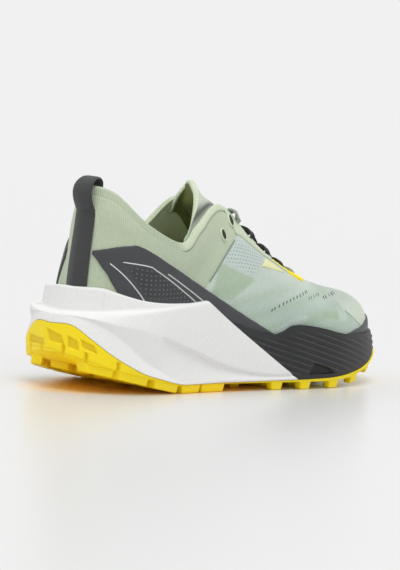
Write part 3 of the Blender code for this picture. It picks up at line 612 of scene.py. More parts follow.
def woven_finish(name, pitch, amount, colour=None):
    """Plain woven band: threads across and along, in one colour or as painted on the piece."""
    band = Finish(name, 0.82, Sheen_Weight=0.2, Specular_IOR_Level=0.25)
    across, along = band.axes()
    threads = band.weigh(band.wave(along, pitch), band.wave(across, pitch), 0.6)
    cloud = band.noise(700.0)
    base = band.paint() if colour is None else opaque(colour)
    toned = shaded(band, shaded(band, base, threads, amount), cloud, 0.1)
    return band.finish(toned, band.spread(cloud, 0.3, 0.7, 0.74, 0.9), threads, 0.25)


KNIT = knit_finish()
LINING = lining_finish()
FILM = film_finish()
FOAM = foam_finish()
DARK_FOAM = painted_finish("charcoal_foam", 0.5, 1800.0, 0.06, Specular_IOR_Level=0.4)
RUBBER = painted_finish("yellow_rubber", 0.5, 1500.0, 0.06, Specular_IOR_Level=0.4)
TRIM = plain_finish("sage_trim", SAGE_LIGHT, 0.55, 1400.0, 0.06, 0.06, Specular_IOR_Level=0.35)
BINDING_TRIM = plain_finish("binding_trim", BINDING, 0.6, 1400.0, 0.08, 0.06, Specular_IOR_Level=0.3)
YELLOW_TRIM = plain_finish("yellow_trim", YELLOW, 0.45, 1400.0, 0.05, 0.05, Specular_IOR_Level=0.4)
CREAM_TRIM = plain_finish("cream_trim", CREAM, 0.5, 1400.0, 0.05, 0.05)
PIPING_TRIM = plain_finish("piping_trim", PIPING, 0.45, 1600.0, 0.04, 0.05)
SHADE_TRIM = plain_finish("shade_trim", SLIT_SHADE, 0.8, 1600.0, 0.05, 0.1)
HOLE_TRIM = plain_finish("hole_trim", HOLE_SHADE, 0.85, 1600.0, 0.05, 0.1)
SEAM_TRIM = plain_finish("seam_trim", SEAM_SHADE, 0.8, 1600.0, 0.05, 0.1)
WEBBING = woven_finish("black_webbing", 0.9, 0.22, TAPE)
LACE = woven_finish("lace", 1.1, 0.25)


class Shape:
    """Mesh that grows from grids laid over rows of points, then becomes a piece of the shoe."""

    def __init__(self):
        self.mesh = bmesh.new()
        self.weave = self.mesh.loops.layers.uv.new("weave")
        self.paint = self.mesh.verts.layers.float_color.new("paint")
        self.mark = self.mesh.verts.layers.float.new("mark")

    def lay(self, rows, paint=None, mark=None, finish=None):
        """Lays a grid over rows of points; the other arguments are given point by point."""
        rows = np.asarray(rows, float)
        count, columns = rows.shape[:2]
        made = bmesh.ops.create_grid(self.mesh, x_segments=columns - 1, y_segments=count - 1, size=0.5)
        verts = made["verts"]
        shares = np.array([vert.co[:2] for vert in verts]) + 0.5
        column = np.rint(shares[:, 0] * (columns - 1)).astype(int)
        row = np.rint(shares[:, 1] * (count - 1)).astype(int)
        spots = rows[row, column]
        lengths = arc_lengths(rows)[row, column]
        colours = None if paint is None else np.broadcast_to(paint, rows.shape)[row, column]
        marks = None if mark is None else np.broadcast_to(mark, rows.shape[:2])[row, column]
        faces = set()
        place = {}
        for i, vert in enumerate(verts):
            vert.co = spots[i]
            place[vert] = lengths[i]
            if colours is not None:
                vert[self.paint] = (*colours[i], 1.0)
            if marks is not None:
                vert[self.mark] = marks[i]
            faces.update(vert.link_faces)
        for face in faces:
            face.smooth = True
            if finish is not None:
                face.material_index = finish
            for loop in face.loops:
                loop[self.weave].uv = place[loop.vert]
        return self

    def merge(self, distance=2e-3):
        bmesh.ops.remove_doubles(self.mesh, verts=self.mesh.verts, dist=distance)
        bmesh.ops.dissolve_degenerate(self.mesh, dist=1e-4, edges=self.mesh.edges)
        return self

    def piece(self, name, finishes, slot, stands_for=()):
        """Finished piece that rides with the shoe and stands for its solids."""
        self.merge()
        bmesh.ops.recalc_face_normals(self.mesh, faces=self.mesh.faces)
        bmesh.ops.translate(self.mesh, vec=Vector(ROOT), verts=self.mesh.verts)
        bmesh.ops.scale(self.mesh, vec=(MM, MM, MM), verts=self.mesh.verts)
        mesh = bpy.data.meshes.new(name)
        self.mesh.to_mesh(mesh)
        self.mesh.free()
        mesh.set_sharp_from_angle(angle=math.radians(50))
        for finish in finishes:
            mesh.materials.append(finish)
        made = bpy.data.objects.new(name, mesh)
        bpy.context.scene.collection.objects.link(made)
        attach(made, "root")
        if stands_for:
            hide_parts(*stands_for)
        return made


def arc_lengths(rows):
    """Distances along the columns and up the rows of a grid, in millimetres."""
    along = np.linalg.norm(np.diff(rows, axis=1), axis=2).mean(axis=0)
    up = np.linalg.norm(np.diff(rows, axis=0), axis=2)
    u = np.concatenate([[0.0], np.cumsum(along)])
    v = np.concatenate([np.zeros((1, rows.shape[1])), np.cumsum(up, axis=0)])
    return np.stack([np.broadcast_to(u, v.shape), v], axis=2)


def rounded(keys, steps=4):
    """Rows of points through the keys of a section, each key given with the radius that rounds it off."""
    rows = [keys[0][0]]
    for (before, _), (corner, radius), (after, _) in zip(keys, keys[1:], keys[2:]):
        ends = []
        for other in (before, after):
            away = other - corner
            length = np.linalg.norm(away, axis=-1, keepdims=True)
            ends.append(corner + away / np.maximum(length, 1e-9) * np.minimum(radius, 0.45 * length))
        for i in range(steps + 1):
            share = i / steps
            rest = 1.0 - share
            rows.append(ends[0] * rest**2 + corner * (2 * rest * share) + ends[1] * share**2)
    rows.append(keys[-1][0])
    return np.stack(rows)


def midline(ring):
    """Ring drawn in to the line midway between both sides of the foot."""
    return (ring + ring[::-1]) / 2


def closed_section(outer, inner, axis=0):
    """Grid that runs over an outer face and back along an inner one, closed at both edges."""
    return np.concatenate([outer, np.flip(inner, axis), np.take(outer, [0], axis)], axis)


# Places round the foot: crowded at the heel, and the last one closes the ring
COLUMNS = 520
HEEL_CROWDING = 0.35
TURN = np.linspace(0.0, 1.0, COLUMNS + 1)
AROUND = SEGMENTS * (TURN - HEEL_CROWDING * np.sin(2.0 * math.pi * TURN) / (2.0 * math.pi))

# Upper: rows of its wall, lining and rolled rim, and the levels over which the lining is painted paler
# towards the rim, as painted light
UPPER_ROWS = 96
LINING_ROWS = 40
ROLL_ROWS = 9
ROW_CROWDING = 1.5
RIM_ROUND = 0.55
RIM_TURN_ROWS = 5
LINING_PAINTED_LIGHT = (0.3, 0.9)

# Heel of the tread, and the rear foam's strip, fold, ledge and heel clip
HEEL_CURL = 3.5
HEEL_CURL_RUN = (2.0, 15.0)
INNER_CLIP_DROP = 2.0
INNER_BULGE = 2.2
STRIP_DEPTH = 1.4
FOLD_HEIGHT = 1.7
FOLD_DEPTH = 1.1
FOLD_START = (2.2, 2.45)
INNER_CLIP_START = (0.2, 0.8)
INNER_CLIP_END = (2.0, 3.0)
INNER_BULGE_AT = (0.9, 0.7)
INNER_BULGE_START = (0.0, 0.5)
CLIP_FULLNESS = 1.3
CLIP_LEAST = 1.5
LEDGE_RISE = 0.9
LEDGE_OUT = 0.4

# Relief of the upper along its rim: height, distance below the rim and width, and the stations where it runs
Swell = namedtuple("Swell", "height below width")
COLLAR_PAD = Swell(1.2, 12.0, 8.0)
HEEL_STITCH = Swell(-0.25, 4.2, 0.8)
RIM_BEAD = Swell(0.4, 1.8, 1.7)
RIM_GROOVE = Swell(-0.6, 4.3, 0.55)
COLLAR_END = (3.6, 4.8)
HEEL_END = (1.9, 2.5)
BEAD_START = (2.7, 3.1)
BEAD_END = (5.2, 5.5)
SEAM_WIDTH = 1.5
SEAM_DEPTH = 0.45
SEAM_START = (5.5, 8.0)

# Soft creases over the toes: distance from the heel, lean and depth
Crease = namedtuple("Crease", "along lean depth")
CREASES = (Crease(214.0, -0.10, 0.45), Crease(225.0, 0.02, 0.55), Crease(236.0, 0.12, 0.4))
CREASE_WIDTH = 2.6
CREASE_HEIGHT = 50.0
CREASE_START = (42.0, 52.0)

# Stretches over which the upper's colours change, as heights, distances from the heel or stations
PALE_HEEL = (25.0, 60.0)
PALE_COLLAR = (70.0, 110.0)
MINT_RISE = (44.0, 66.0)
TOP_AHEAD = (198.0, 236.0)
TOP_RISE = (46.0, 60.0)
SWEEP_HEIGHT = 0.55
SWEEP_ALONG = 0.12
SWEEP_FADE = (58.0, 72.0)
CAP_AHEAD = (215.0, 226.0)
CAP_FADE = (46.0, 58.0)
BAND_END = (5.3, 5.6)
BAND_DEPTH = (3.6, 4.2)
GROOVE_START = (2.8, 3.2)
GROOVE_END = (5.1, 5.4)


def rim_distance(where, level):
    return np.linalg.norm(upper(where, level) - upper(where, 1.0), axis=-1)


def upper_relief(where, level):
    """Padding, binding and soft creases of the upper, in millimetres off its plain surface."""
    spot = upper(where, level)
    x, z = spot[..., 0], spot[..., 2]
    at = station(where)
    below = rim_distance(where, level)

    def swollen(swell):
        return swell.height * hump(below, swell.below, swell.width)

    relief = (1.0 - ease(*COLLAR_END, at)) * swollen(COLLAR_PAD)
    relief += (1.0 - ease(*HEEL_END, at)) * swollen(HEEL_STITCH)
    front = ease(*BEAD_START, at) * (1.0 - ease(*BEAD_END, at))
    relief += front * (swollen(RIM_BEAD) + swollen(RIM_GROOVE))
    relief -= SEAM_DEPTH * hump(from_line(x, z, SEAM), 0.0, SEAM_WIDTH) * ease(*SEAM_START, below)
    for crease in CREASES:
        offset = x - crease.along - crease.lean * (z - CREASE_HEIGHT)
        relief -= crease.depth * hump(offset, 0.0, CREASE_WIDTH) * ease(*CREASE_START, z)
    return relief


def upper_paint(where, level):
    """Colours of the upper: sage heel, mint forefoot with its fields, pale toe and bound rim, with painted
    shade in the groove below the rim.
    """
    spot = upper(where, level)
    x, z = spot[..., 0], spot[..., 2]
    at = station(where)
    below = rim_distance(where, level)
    behind = from_line(x, z, SEAM)

    def blend(base, colour, share):
        return base + (colour - base) * share[..., None]

    pale = 0.4 * hump(behind, -3.0, 9.0) + 0.6 * (1.0 - ease(*PALE_HEEL, x)) + 0.2 * ease(*PALE_COLLAR, z)
    heel = blend(np.broadcast_to(SAGE, spot.shape), SAGE_LIGHT, np.clip(pale, 0.0, 1.0))
    front = blend(np.broadcast_to(MINT_LOW, spot.shape), MINT, ease(*MINT_RISE, z))
    front = blend(front, MINT_TOP, ease(*TOP_AHEAD, x) * ease(*TOP_RISE, z))
    sweep = 0.5 + 0.5 * np.sin(SWEEP_HEIGHT * z - SWEEP_ALONG * x)
    front = blend(front, GREEN, 0.35 * sweep * (1.0 - ease(*SWEEP_FADE, z)))
    front = blend(front, MINT_PALE, inside(x, z, MINT_FIELD, 1.2))
    cap = ease(-1.0, 1.0, from_line(x, z, TOE_LINE)) * ease(*CAP_AHEAD, x)
    front = blend(front, TOE_FILM, 0.9 * cap * (1.0 - 0.7 * ease(*CAP_FADE, z)))
    for corners, tone, share in PATCHES:
        front = blend(front, tone, share * inside(x, z, corners, 1.0))
    colour = blend(heel, front, ease(-0.8, 0.8, behind))
    band = ease(*BEAD_START, at) * (1.0 - ease(*BAND_END, at)) * (1.0 - ease(*BAND_DEPTH, below))
    colour = blend(colour, BINDING, band)
    # Painted shade: the upper is darkened along the groove below the rim.
    groove = ease(*GROOVE_START, at) * (1.0 - ease(*GROOVE_END, at)) * hump(below, RIM_GROOVE.below, 0.5)
    return colour * (1.0 - 0.4 * groove)[..., None]


def make_upper():
    """Knit wall with a rolled rim and the lining inside, as one closed shell."""
    levels = 1.0 - (1.0 - np.linspace(0.0, 1.0, UPPER_ROWS))[:, None] ** ROW_CROWDING
    where = AROUND[None, :]
    outer = off_upper(where, levels, upper_relief(where, levels))
    deep = np.linspace(1.0, 0.0, LINING_ROWS)[:, None]
    inner = off_upper(where, deep, -wall_at(where, deep))
    centre = (outer[-1] + inner[0]) / 2
    half = (outer[-1] - inner[0]) / 2
    rise = unit(upper(AROUND, 1.0) - upper(AROUND, 0.97)) * np.linalg.norm(half, axis=-1, keepdims=True)
    turns = np.linspace(0.0, math.pi, ROLL_ROWS + 2)[1:-1]
    roll = np.stack([centre + half * math.cos(turn) + rise * (RIM_ROUND * math.sin(turn)) for turn in turns])
    skin = np.concatenate([outer, roll[: ROLL_ROWS // 2 + 1]])
    back = np.concatenate([roll[ROLL_ROWS // 2 :], inner, outer[:1]])
    skin_levels = np.concatenate([levels, np.ones((ROLL_ROWS // 2 + 1, 1))])
    x, z = skin[..., 0], skin[..., 2]
    depth = np.concatenate([np.ones(ROLL_ROWS - ROLL_ROWS // 2), deep[:, 0], [0.0]])[:, None]
    # Lining painted from deep olive low in the shoe to near white at the rim: painted light towards the
    # opening and painted shade deeper in.
    olive = OLIVE_DEEP + (OLIVE - OLIVE_DEEP) * ease(*LINING_PAINTED_LIGHT, depth)[..., None]
    roll_blend = np.clip(np.arange(len(back)) / (RIM_TURN_ROWS - 1.0), 0.0, 1.0)[:, None, None]
    edge_paint = upper_paint(where, np.ones((1, 1)))
    shape = Shape()
    shape.lay(skin, paint=upper_paint(where, skin_levels), mark=inside(x, z, HOLE_FIELD, 1.2), finish=0)
    shape.lay(back, paint=edge_paint + (olive - edge_paint) * roll_blend, finish=1)
    return shape.piece("knit_upper", (KNIT, LINING), "sage_knit", ("upper",))


def trim(where):
    """Height of the rubber's upper edge."""
    return ground(outline(where)[..., 0]) + LUG_HEIGHT + PLATE + open_run(WRAP, station(where))


def tread(inset, rise):
    """Ring on the tread, curled up at the very back of the heel."""
    spot = outline(AROUND, inset)
    curl = HEEL_CURL * (1.0 - ease(*HEEL_CURL_RUN, spot[..., 0]))
    spot[..., 2] = ground(spot[..., 0]) + LUG_HEIGHT + rise + curl
    return spot


def bed_ring(inset):
    spot = outline(AROUND, closed_run(SECTION["inset"], AROUND) + inset)
    spot[..., 2] = footbed(spot[..., 0])
    return spot


def cradle(edge_inset):
    """Keys of a foam's section from its middle, over the nest in the rubber, to the edge above it."""
    nest = RUBBER_WALL + 2 * GAP
    first = tread(TREAD_INSET + nest, 0.5 * PLATE + GAP)
    above = trim(AROUND) + GAP
    return [
        (midline(first), 0.0),
        (first, 1.0),
        (tread(TREAD_CORNER + nest, 0.5 * PLATE + GAP), 0.5),
        (outline(AROUND, TREAD_EDGE + nest, above), 0.4),
        (outline(AROUND, edge_inset, above), 0.7),
    ]


def cup(top, wall, radius):
    """Keys over the foam's top edge and down its inner face to the footbed."""
    levels = level_at(AROUND, top)
    bed = bed_ring(0.8)
    return [
        (off_upper(AROUND, levels, GAP + wall), radius),
        (off_upper(AROUND, levels, GAP), 0.6),
        (off_upper(AROUND, levels * 0.5, GAP), 2.0),
        (bed_ring(-GAP), 0.5),
        (bed, 0.5),
        (midline(bed), 0.0),
    ]


def split_at_wing(shape, keep_rear):
    """Cuts a foam along the slanted face where the two meet, and closes the cut."""
    (top_x, top_z), (foot_x, foot_z) = WING_TOP, WING_FOOT
    normal = Vector((top_z - foot_z, 0.0, foot_x - top_x)).normalized()
    shift = -GAP if keep_rear else GAP
    shape.merge()
    mesh = shape.mesh
    bmesh.ops.bisect_plane(
        mesh,
        geom=mesh.verts[:] + mesh.edges[:] + mesh.faces[:],
        dist=1e-4,
        plane_co=(top_x + shift, 0.0, top_z),
        plane_no=normal,
        clear_outer=keep_rear,
        clear_inner=not keep_rear,
    )
    open_edges = [edge for edge in mesh.edges if edge.is_boundary]
    made = bmesh.ops.triangle_fill(mesh, use_beauty=True, edges=open_edges)
    for face in made["geom"]:
        if isinstance(face, bmesh.types.BMFace):
            face.smooth = True


def make_rear_foam():
    """White foam: scooped side with its creases, the ledge with the wing, and the heel clip."""
    where = AROUND
    low = trim(where) + GAP
    ledge = side("ledge", where)
    inset = side("inset", where)
    fold = ease(*FOLD_START, station(where))
    rise = {name: low + (ledge - low) * side(name, where) for name in ("ridge", "proud")}
    valley = 0.1 * (inset - 1.0) + STRIP_DEPTH * side("strip", where)
    bulge = 0.5 * (inset - 1.0) + 0.1 * side("strip", where)
    under = np.maximum(rise["proud"] - FOLD_HEIGHT, (rise["ridge"] + rise["proud"]) / 2)
    between = (under - rise["ridge"]) / np.maximum(rise["proud"] - rise["ridge"], 0.1)
    crease = valley + (bulge - valley) * between + fold * FOLD_DEPTH * side("scoop", where)
    inner = SEGMENTS - where
    drop = INNER_CLIP_DROP * ease(*INNER_CLIP_START, inner) * (1.0 - ease(*INNER_CLIP_END, inner))
    clip = np.maximum(side("clip", where) - drop, ledge + CLIP_LEAST)
    inner_bulge = INNER_BULGE * hump(inner, *INNER_BULGE_AT) * ease(*INNER_BULGE_START, inner)
    wall = side("wall", where) + CLIP_FULLNESS * inner_bulge
    step = off_upper(where, level_at(where, ledge + LEDGE_RISE), GAP + wall + LEDGE_OUT)
    step[..., 2] = ledge + LEDGE_RISE
    keys = [
        *cradle(FOAM_SETBACK),
        (outline(where, valley, rise["ridge"]), 1.0),
        (outline(where, crease, under), (2.5 - 2.1 * fold)[:, None]),
        (outline(where, bulge, rise["proud"]), (3.5 - 2.6 * fold)[:, None]),
        (outline(where, inset - inner_bulge, ledge), 1.7),
        (step, 1.6),
        *cup(clip, wall, 1.3),
    ]
    shape = Shape().lay(rounded(keys))
    split_at_wing(shape, True)
    return shape.piece("rear_foam", (FOAM,), "white_foam", ("midsole_rear",))


# Dark foam: its ribs and how far they run, the painted highlight and painted shade along their edges, its
# bulge, and the sunk window in its side
RIB_ROWS = 110
RIB_PITCH = 3.7
RIB_SLOPE = 0.25
RIB_FROM = 190.0
RIB_DEPTH = 0.9
RIB_LAP = (0.82, 1.0)
RIB_HIGHLIGHT = (0.80, 0.08)
RIB_SHADE = (0.97, 0.07)
RIBS_START = (0.04, 0.12)
RIBS_END = (0.84, 0.92)
RIBS_AHEAD = (3.6, 4.2)
SIDE_BULGE = 2.4
WINDOW = ((187.5, 9.4), (212.0, 9.6), (205.3, 13.2), (192.0, 16.2))
WINDOW_DEPTH = 1.3


def rib(spots):
    """Share of a rib's height, from its foot to its sharp upper edge, on the side of the dark foam."""
    phase = (spots[..., 2] + RIB_SLOPE * (spots[..., 0] - RIB_FROM)) / RIB_PITCH
    return phase - np.floor(phase)


def make_front_foam():
    """Dark foam under the forefoot, with layered ribs that flow down towards the toe, up to the rand."""
    where = AROUND
    at = station(where)
    top = open_run(RAND, at)
    low = outline(where, FRONT_SETBACK, trim(where) + GAP)
    high = off_upper(where, level_at(where, top), GAP + RAND_WALL)
    out = outward(where)
    share = np.linspace(0.0, 1.0, RIB_ROWS)[:, None]
    plain = low + (high - low) * share[..., None] + out * (SIDE_BULGE * share * (1.0 - share))[..., None]
    tooth = rib(plain)
    lap = tooth * (1.0 - ease(*RIB_LAP, tooth))
    reach = ease(*RIBS_START, share) * (1.0 - ease(*RIBS_END, share)) * ease(*RIBS_AHEAD, at)
    pane = inside(plain[..., 0], plain[..., 2], WINDOW, 0.5)
    lift = RIB_DEPTH * (lap - 0.4) * reach * (1.0 - pane) - WINDOW_DEPTH * pane
    sides = plain + out * lift[..., None]
    first, last = (sides[0], 0.0), (sides[-1], 0.0)
    under = rounded([*cradle(FRONT_SETBACK), first])[:-1]
    over = rounded([last, *cup(top, RAND_WALL, 1.1)])[1:]
    # Painted highlight along each rib's upper edge, painted shade just above it, and painted shade in the
    # sunk window.
    edge = (0.55 * hump(tooth, *RIB_HIGHLIGHT) - 0.45 * hump(tooth, *RIB_SHADE)) * reach - 0.5 * pane
    tones = np.concatenate([np.zeros(under.shape[:2]), edge, np.zeros(over.shape[:2])])[..., None]
    paint = FOAM_DARK + (FOAM_HIGHLIGHT - FOAM_DARK) * tones
    shape = Shape().lay(np.concatenate([under, sides, over]), paint=paint)
    split_at_wing(shape, False)
    return shape.piece("front_foam", (DARK_FOAM,), "charcoal_foam", ("midsole_front",))


# Rubber: grooves as places on the outline, lug line and recesses as distances round the heel and heights
WRAP_ROWS = 44
WRAP_FOOT = 0.9
WRAP_LEAST = (0.8, 2.5)
WRAP_PLAIN = (0.86, 0.96)
GROOVES = ((5.2, -8.2), (10.2, -21.4), (24.3, -34.0), (47.5, -42.5), (73.5, -44.0))
GROOVE_WIDTH = 2.0
GROOVE_TALL = 5.5
GROOVE_DEPTH = 1.8
LUG_LINE = (
    (-64.0, 9.0), (-40.0, 15.5), (-26.0, 22.0), (0.0, 23.5),
    (10.0, 21.5), (24.0, 19.0), (40.0, 14.5), (64.0, 9.0),
)
LUG_LINE_WIDTH = 0.7
LUG_LINE_DEPTH = 0.5
RECESSES = (
    ((-1.0, 28.4), (9.5, 27.4), (7.5, 32.4), (-3.5, 35.4)),
    ((21.5, 26.4), (30.5, 23.6), (28.0, 28.2), (20.5, 31.0)),
    ((-27.0, 24.9), (-6.0, 25.4), (-6.5, 28.8), (-26.0, 29.4)),
    ((12.5, 26.0), (19.0, 24.6), (18.0, 30.0), (12.0, 32.5)),
)
RECESS_DEPTH = 1.5
RECESS_PAINTED_SHADE = 0.45


def make_rubber_sole():
    """Yellow rubber: thin plate under the foot, wrapped up the heel with moulded recesses and lug grooves,
    painted darker in them as shade.
    """
    where = AROUND
    low = tread(TREAD_CORNER, WRAP_FOOT)
    high = outline(where, TREAD_EDGE, trim(where))
    ring = outline(where)
    arc = np.concatenate([[0.0], np.cumsum(np.linalg.norm(np.diff(ring, axis=0), axis=1))])
    arc = np.where(arc > arc[-1] / 2, arc - arc[-1], arc)
    share = np.linspace(0.0, 1.0, WRAP_ROWS)[:, None]
    walls = low + (high - low) * share[..., None]
    height = walls[..., 2]
    spread = np.broadcast_to(arc, height.shape)
    relief = np.zeros(height.shape)
    for corners in RECESSES:
        relief = np.maximum(relief, RECESS_DEPTH * inside(spread, height, corners, 0.5))
    fade = 1.0 - ease(GROOVE_TALL - 1.0, GROOVE_TALL, height - low[:, 2])
    for x, y in GROOVES:
        place = arc[np.argmin(np.hypot(ring[:, 0] - x, ring[:, 1] - y))]
        relief = np.maximum(relief, GROOVE_DEPTH * fade * hump(np.abs(spread), place, GROOVE_WIDTH / 2))
    step = hump(height - open_run(LUG_LINE, spread), 0.0, LUG_LINE_WIDTH)
    relief = np.maximum(relief, LUG_LINE_DEPTH * step)
    relief = relief * ease(*WRAP_LEAST, high[:, 2] - low[:, 2]) * (1.0 - ease(*WRAP_PLAIN, share))
    walls = walls - outward(where) * relief[..., None]
    first = tread(TREAD_INSET, 0.0)
    last = tread(TREAD_INSET + RUBBER_WALL, 0.5 * PLATE)
    under = rounded([(midline(first), 0.0), (first, 1.0), (walls[0], 0.0)])[:-1]
    over = rounded([
        (walls[-1], 0.0),
        (outline(where, TREAD_EDGE + 0.5, trim(where) + 0.15), 0.3),
        (outline(where, TREAD_EDGE + RUBBER_WALL, trim(where)), 0.4),
        (tread(TREAD_CORNER + RUBBER_WALL, 0.5 * PLATE), 0.5),
        (last, 0.5),
        (midline(last), 0.0),
    ])[1:]
    # Recesses, grooves and the lug line painted darker by their depth: painted shade.
    deep = np.clip(relief, 0.0, 1.0) * RECESS_PAINTED_SHADE
    tones = np.concatenate([np.zeros(under.shape[:2]), deep, np.zeros(over.shape[:2])])[..., None]
    shape = Shape().lay(np.concatenate([under, walls, over]), paint=YELLOW + (YELLOW_PAINTED_SHADE - YELLOW) * tones)
    return shape.piece("rubber_sole", (RUBBER,), "yellow_rubber", ("outsole",))


# Lugs: distance from the heel, length, and shares of the half width of the inner and the outer edge
Lug = namedtuple("Lug", "along length inner outer")
EDGE_LUGS = (
    Lug(17.0, 11.0, 0.58, 0.89), Lug(35.5, 19.0, 0.60, 0.92), Lug(61.0, 20.0, 0.62, 0.94),
    Lug(84.0, 16.0, 0.64, 0.94), Lug(105.0, 20.0, 0.68, 0.94), Lug(161.0, 8.0, 0.86, 0.95),
    Lug(186.0, 8.0, 0.86, 0.95), Lug(213.0, 8.0, 0.86, 0.95), Lug(237.0, 8.0, 0.85, 0.95),
    Lug(262.0, 7.0, 0.80, 0.93), Lug(280.0, 6.0, 0.62, 0.88),
)
INNER_LUGS = (
    Lug(21.0, 6.0, 0.10, 0.38), Lug(37.0, 8.0, 0.10, 0.46), Lug(53.0, 8.0, 0.12, 0.48),
    Lug(71.0, 8.0, 0.12, 0.48), Lug(144.0, 8.0, 0.12, 0.58), Lug(170.0, 9.0, 0.12, 0.62),
    Lug(196.0, 9.0, 0.12, 0.62), Lug(222.0, 9.0, 0.12, 0.62), Lug(246.0, 8.0, 0.12, 0.56),
    Lug(265.0, 7.0, 0.12, 0.44),
)
LUG_TAPER = 1.0
LUG_ROOT = 1.9
LUG_SWEEP = 5.0
LUG_ROUND = 0.7


def add_lug(shape, lug, edges, sweep):
    """Block from a cube: tapered towards the floor, swept, and rounded along its edges."""
    mesh = shape.mesh
    corners = bmesh.ops.create_cube(mesh, size=2.0)["verts"]
    for vert in corners:
        grow = LUG_TAPER if vert.co.z > 0 else 0.0
        inner_edge = vert.co.y < 0
        x = lug.along + math.copysign(lug.length / 2 + grow, vert.co.x)
        edge = float(open_run(edges, x))
        spread = math.copysign(grow * 0.5, edge)
        y = edge * lug.inner - spread if inner_edge else edge * lug.outer + spread
        x += sweep if inner_edge else 0.0
        vert.co = (x, y, float(ground(x)) + (LUG_HEIGHT + LUG_ROOT if vert.co.z > 0 else 0.0))
    bmesh.ops.recalc_face_normals(mesh, faces=list({face for vert in corners for face in vert.link_faces}))
    sides = list({link for vert in corners for link in vert.link_edges})
    bmesh.ops.bevel(mesh, geom=sides, offset=LUG_ROUND, affect="EDGES", segments=2, profile=0.5, material=-1)


def make_lugs():
    """Rows of lugs along both edges of the tread, and swept ones within them."""
    shape = Shape()
    lateral = [(row.along * LENGTH, row.lateral * BALL_WIDTH) for row in STATIONS]
    medial = [(row.along * LENGTH, row.medial * BALL_WIDTH) for row in STATIONS]
    for table, sweep in ((EDGE_LUGS, 0.0), (INNER_LUGS, LUG_SWEEP)):
        for lug in table:
            for edges in (lateral, medial):
                add_lug(shape, lug, edges, sweep)
    for vert in shape.mesh.verts:
        vert[shape.paint] = (*YELLOW, 1.0)
    return shape.piece("lugs", (RUBBER,), "yellow_rubber")


# Sock liner: how far its edge and its dip stand in from the upper, and how deep the dip is
SOCK_CLEAR = UPPER_WALL + 0.7
SOCK_RIM = UPPER_WALL + 6.0
SOCK_DIP = 0.6


def make_sock_liner():
    """Sock liner on the footbed, its edge rounded up against the wall."""

    def edge(level, rise, inset):
        spot = off_upper(AROUND, level, -inset)
        spot[..., 2] = footbed(spot[..., 0]) + rise
        return spot

    low, high = edge(0.01, GAP, SOCK_CLEAR), edge(0.05, INSOLE_THICK, SOCK_CLEAR)
    dip = edge(0.05, INSOLE_THICK - SOCK_DIP, SOCK_RIM)
    keys = [(midline(low), 0.0), (low, 0.6), (high, 1.0), (dip, 2.0), (midline(dip), 0.0)]
    rows = rounded(keys)
    shape = Shape().lay(rows, paint=np.broadcast_to(OLIVE_DEEP, rows.shape))
    return shape.piece("sock_liner", (LINING,), "lining", ("insole",))


# Tongue: how far it stands up, where its top edge meets both sides of the collar, how it tucks in
TONGUE_REACH = 13.0
TONGUE_MEETS = (3.65, 4.85)
TONGUE_TOP_CLEAR = (2.8, 0.9)
TONGUE_INNER_RISE = 3.5
TONGUE_FLATNESS = 3.0
TONGUE_SHARES = (0.15, 0.32, 0.5, 0.68, 0.85)
TONGUE_TOP_ROWS = 9
TONGUE_FIRST = 5.25
TONGUE_LAST = 8.5
TONGUE_ROWS = 14
TONGUE_ROOT = (8.9, 9.25)
TONGUE_TUCK = 0.87
TONGUE_LEAN = np.array((-0.62, 0.0, 0.78))
TONGUE_CLEAR = UPPER_WALL + 1.3
TONGUE_ROOT_CLEAR = UPPER_WALL + 2.8
TONGUE_EDGE = 0.35
TONGUE_CELLS = (90, 56)

# Painted bands of the tongue, as shares across and down it: a painted shadow of the gap beside the collar,
# and the bound top edge
GAP_SHADE_BAND = (0.60, 0.13)
GAP_SHADE_END = (0.2, 0.4)
BOUND_EDGE = (0.03, 0.06)


def tongue_line(where):
    """Points across the tongue's outer face."""
    both = [facing(where, medial) for medial in (False, True)]
    tucked = [off_upper(place, TONGUE_TUCK, -TONGUE_CLEAR) for place in both]
    rims = [off_upper(place, 1.0, -TONGUE_CLEAR) for place in both]
    middle = []
    for share in TONGUE_SHARES:
        arch = float(open_run(CROWN, where)) * 4 * share * (1.0 - share)
        middle.append(rims[0] + (rims[1] - rims[0]) * share + np.array((0.0, 0.0, arch)))
    return np.stack([tucked[0], rims[0], *middle, rims[1], tucked[1]])


def tongue_top_line(share):
    """Points across the tongue above the throat: share 0 is its top edge, 1 the head of the throat."""
    ends = []
    for start, top_clear, medial in zip(TONGUE_MEETS, TONGUE_TOP_CLEAR, (False, True)):
        where = facing(start + (TONGUE_FIRST - start) * share, medial)
        padded = -float(wall_at(where, 1.0)) - top_clear
        clear = padded + (-TONGUE_CLEAR - padded) * share
        ends.append((off_upper(where, TONGUE_TUCK, clear), off_upper(where, 1.0, clear)))
    (left_tuck, left), (right_tuck, right) = ends
    right = right + np.array((0.0, 0.0, TONGUE_INNER_RISE * (1.0 - share)))
    head = tongue_line(TONGUE_FIRST)
    crest = head[len(head) // 2] + TONGUE_LEAN * (TONGUE_REACH * (1.0 - share))
    bow = crest - (left + right) / 2
    middle = []
    for across in TONGUE_SHARES:
        lift = 1.0 - abs(2.0 * across - 1.0) ** TONGUE_FLATNESS
        middle.append(left + (right - left) * across + bow * lift)
    return np.stack([left_tuck, left, *middle, right, right_tuck])


def tongue_root_line(where):
    """Points across the tongue under the foot of the throat, as many as on its other lines."""
    both = [facing(where, medial) for medial in (False, True)]
    left, right = (off_upper(place, TONGUE_TUCK, -TONGUE_ROOT_CLEAR) for place in both)
    return np.linspace(left, right, len(TONGUE_SHARES) + 4)


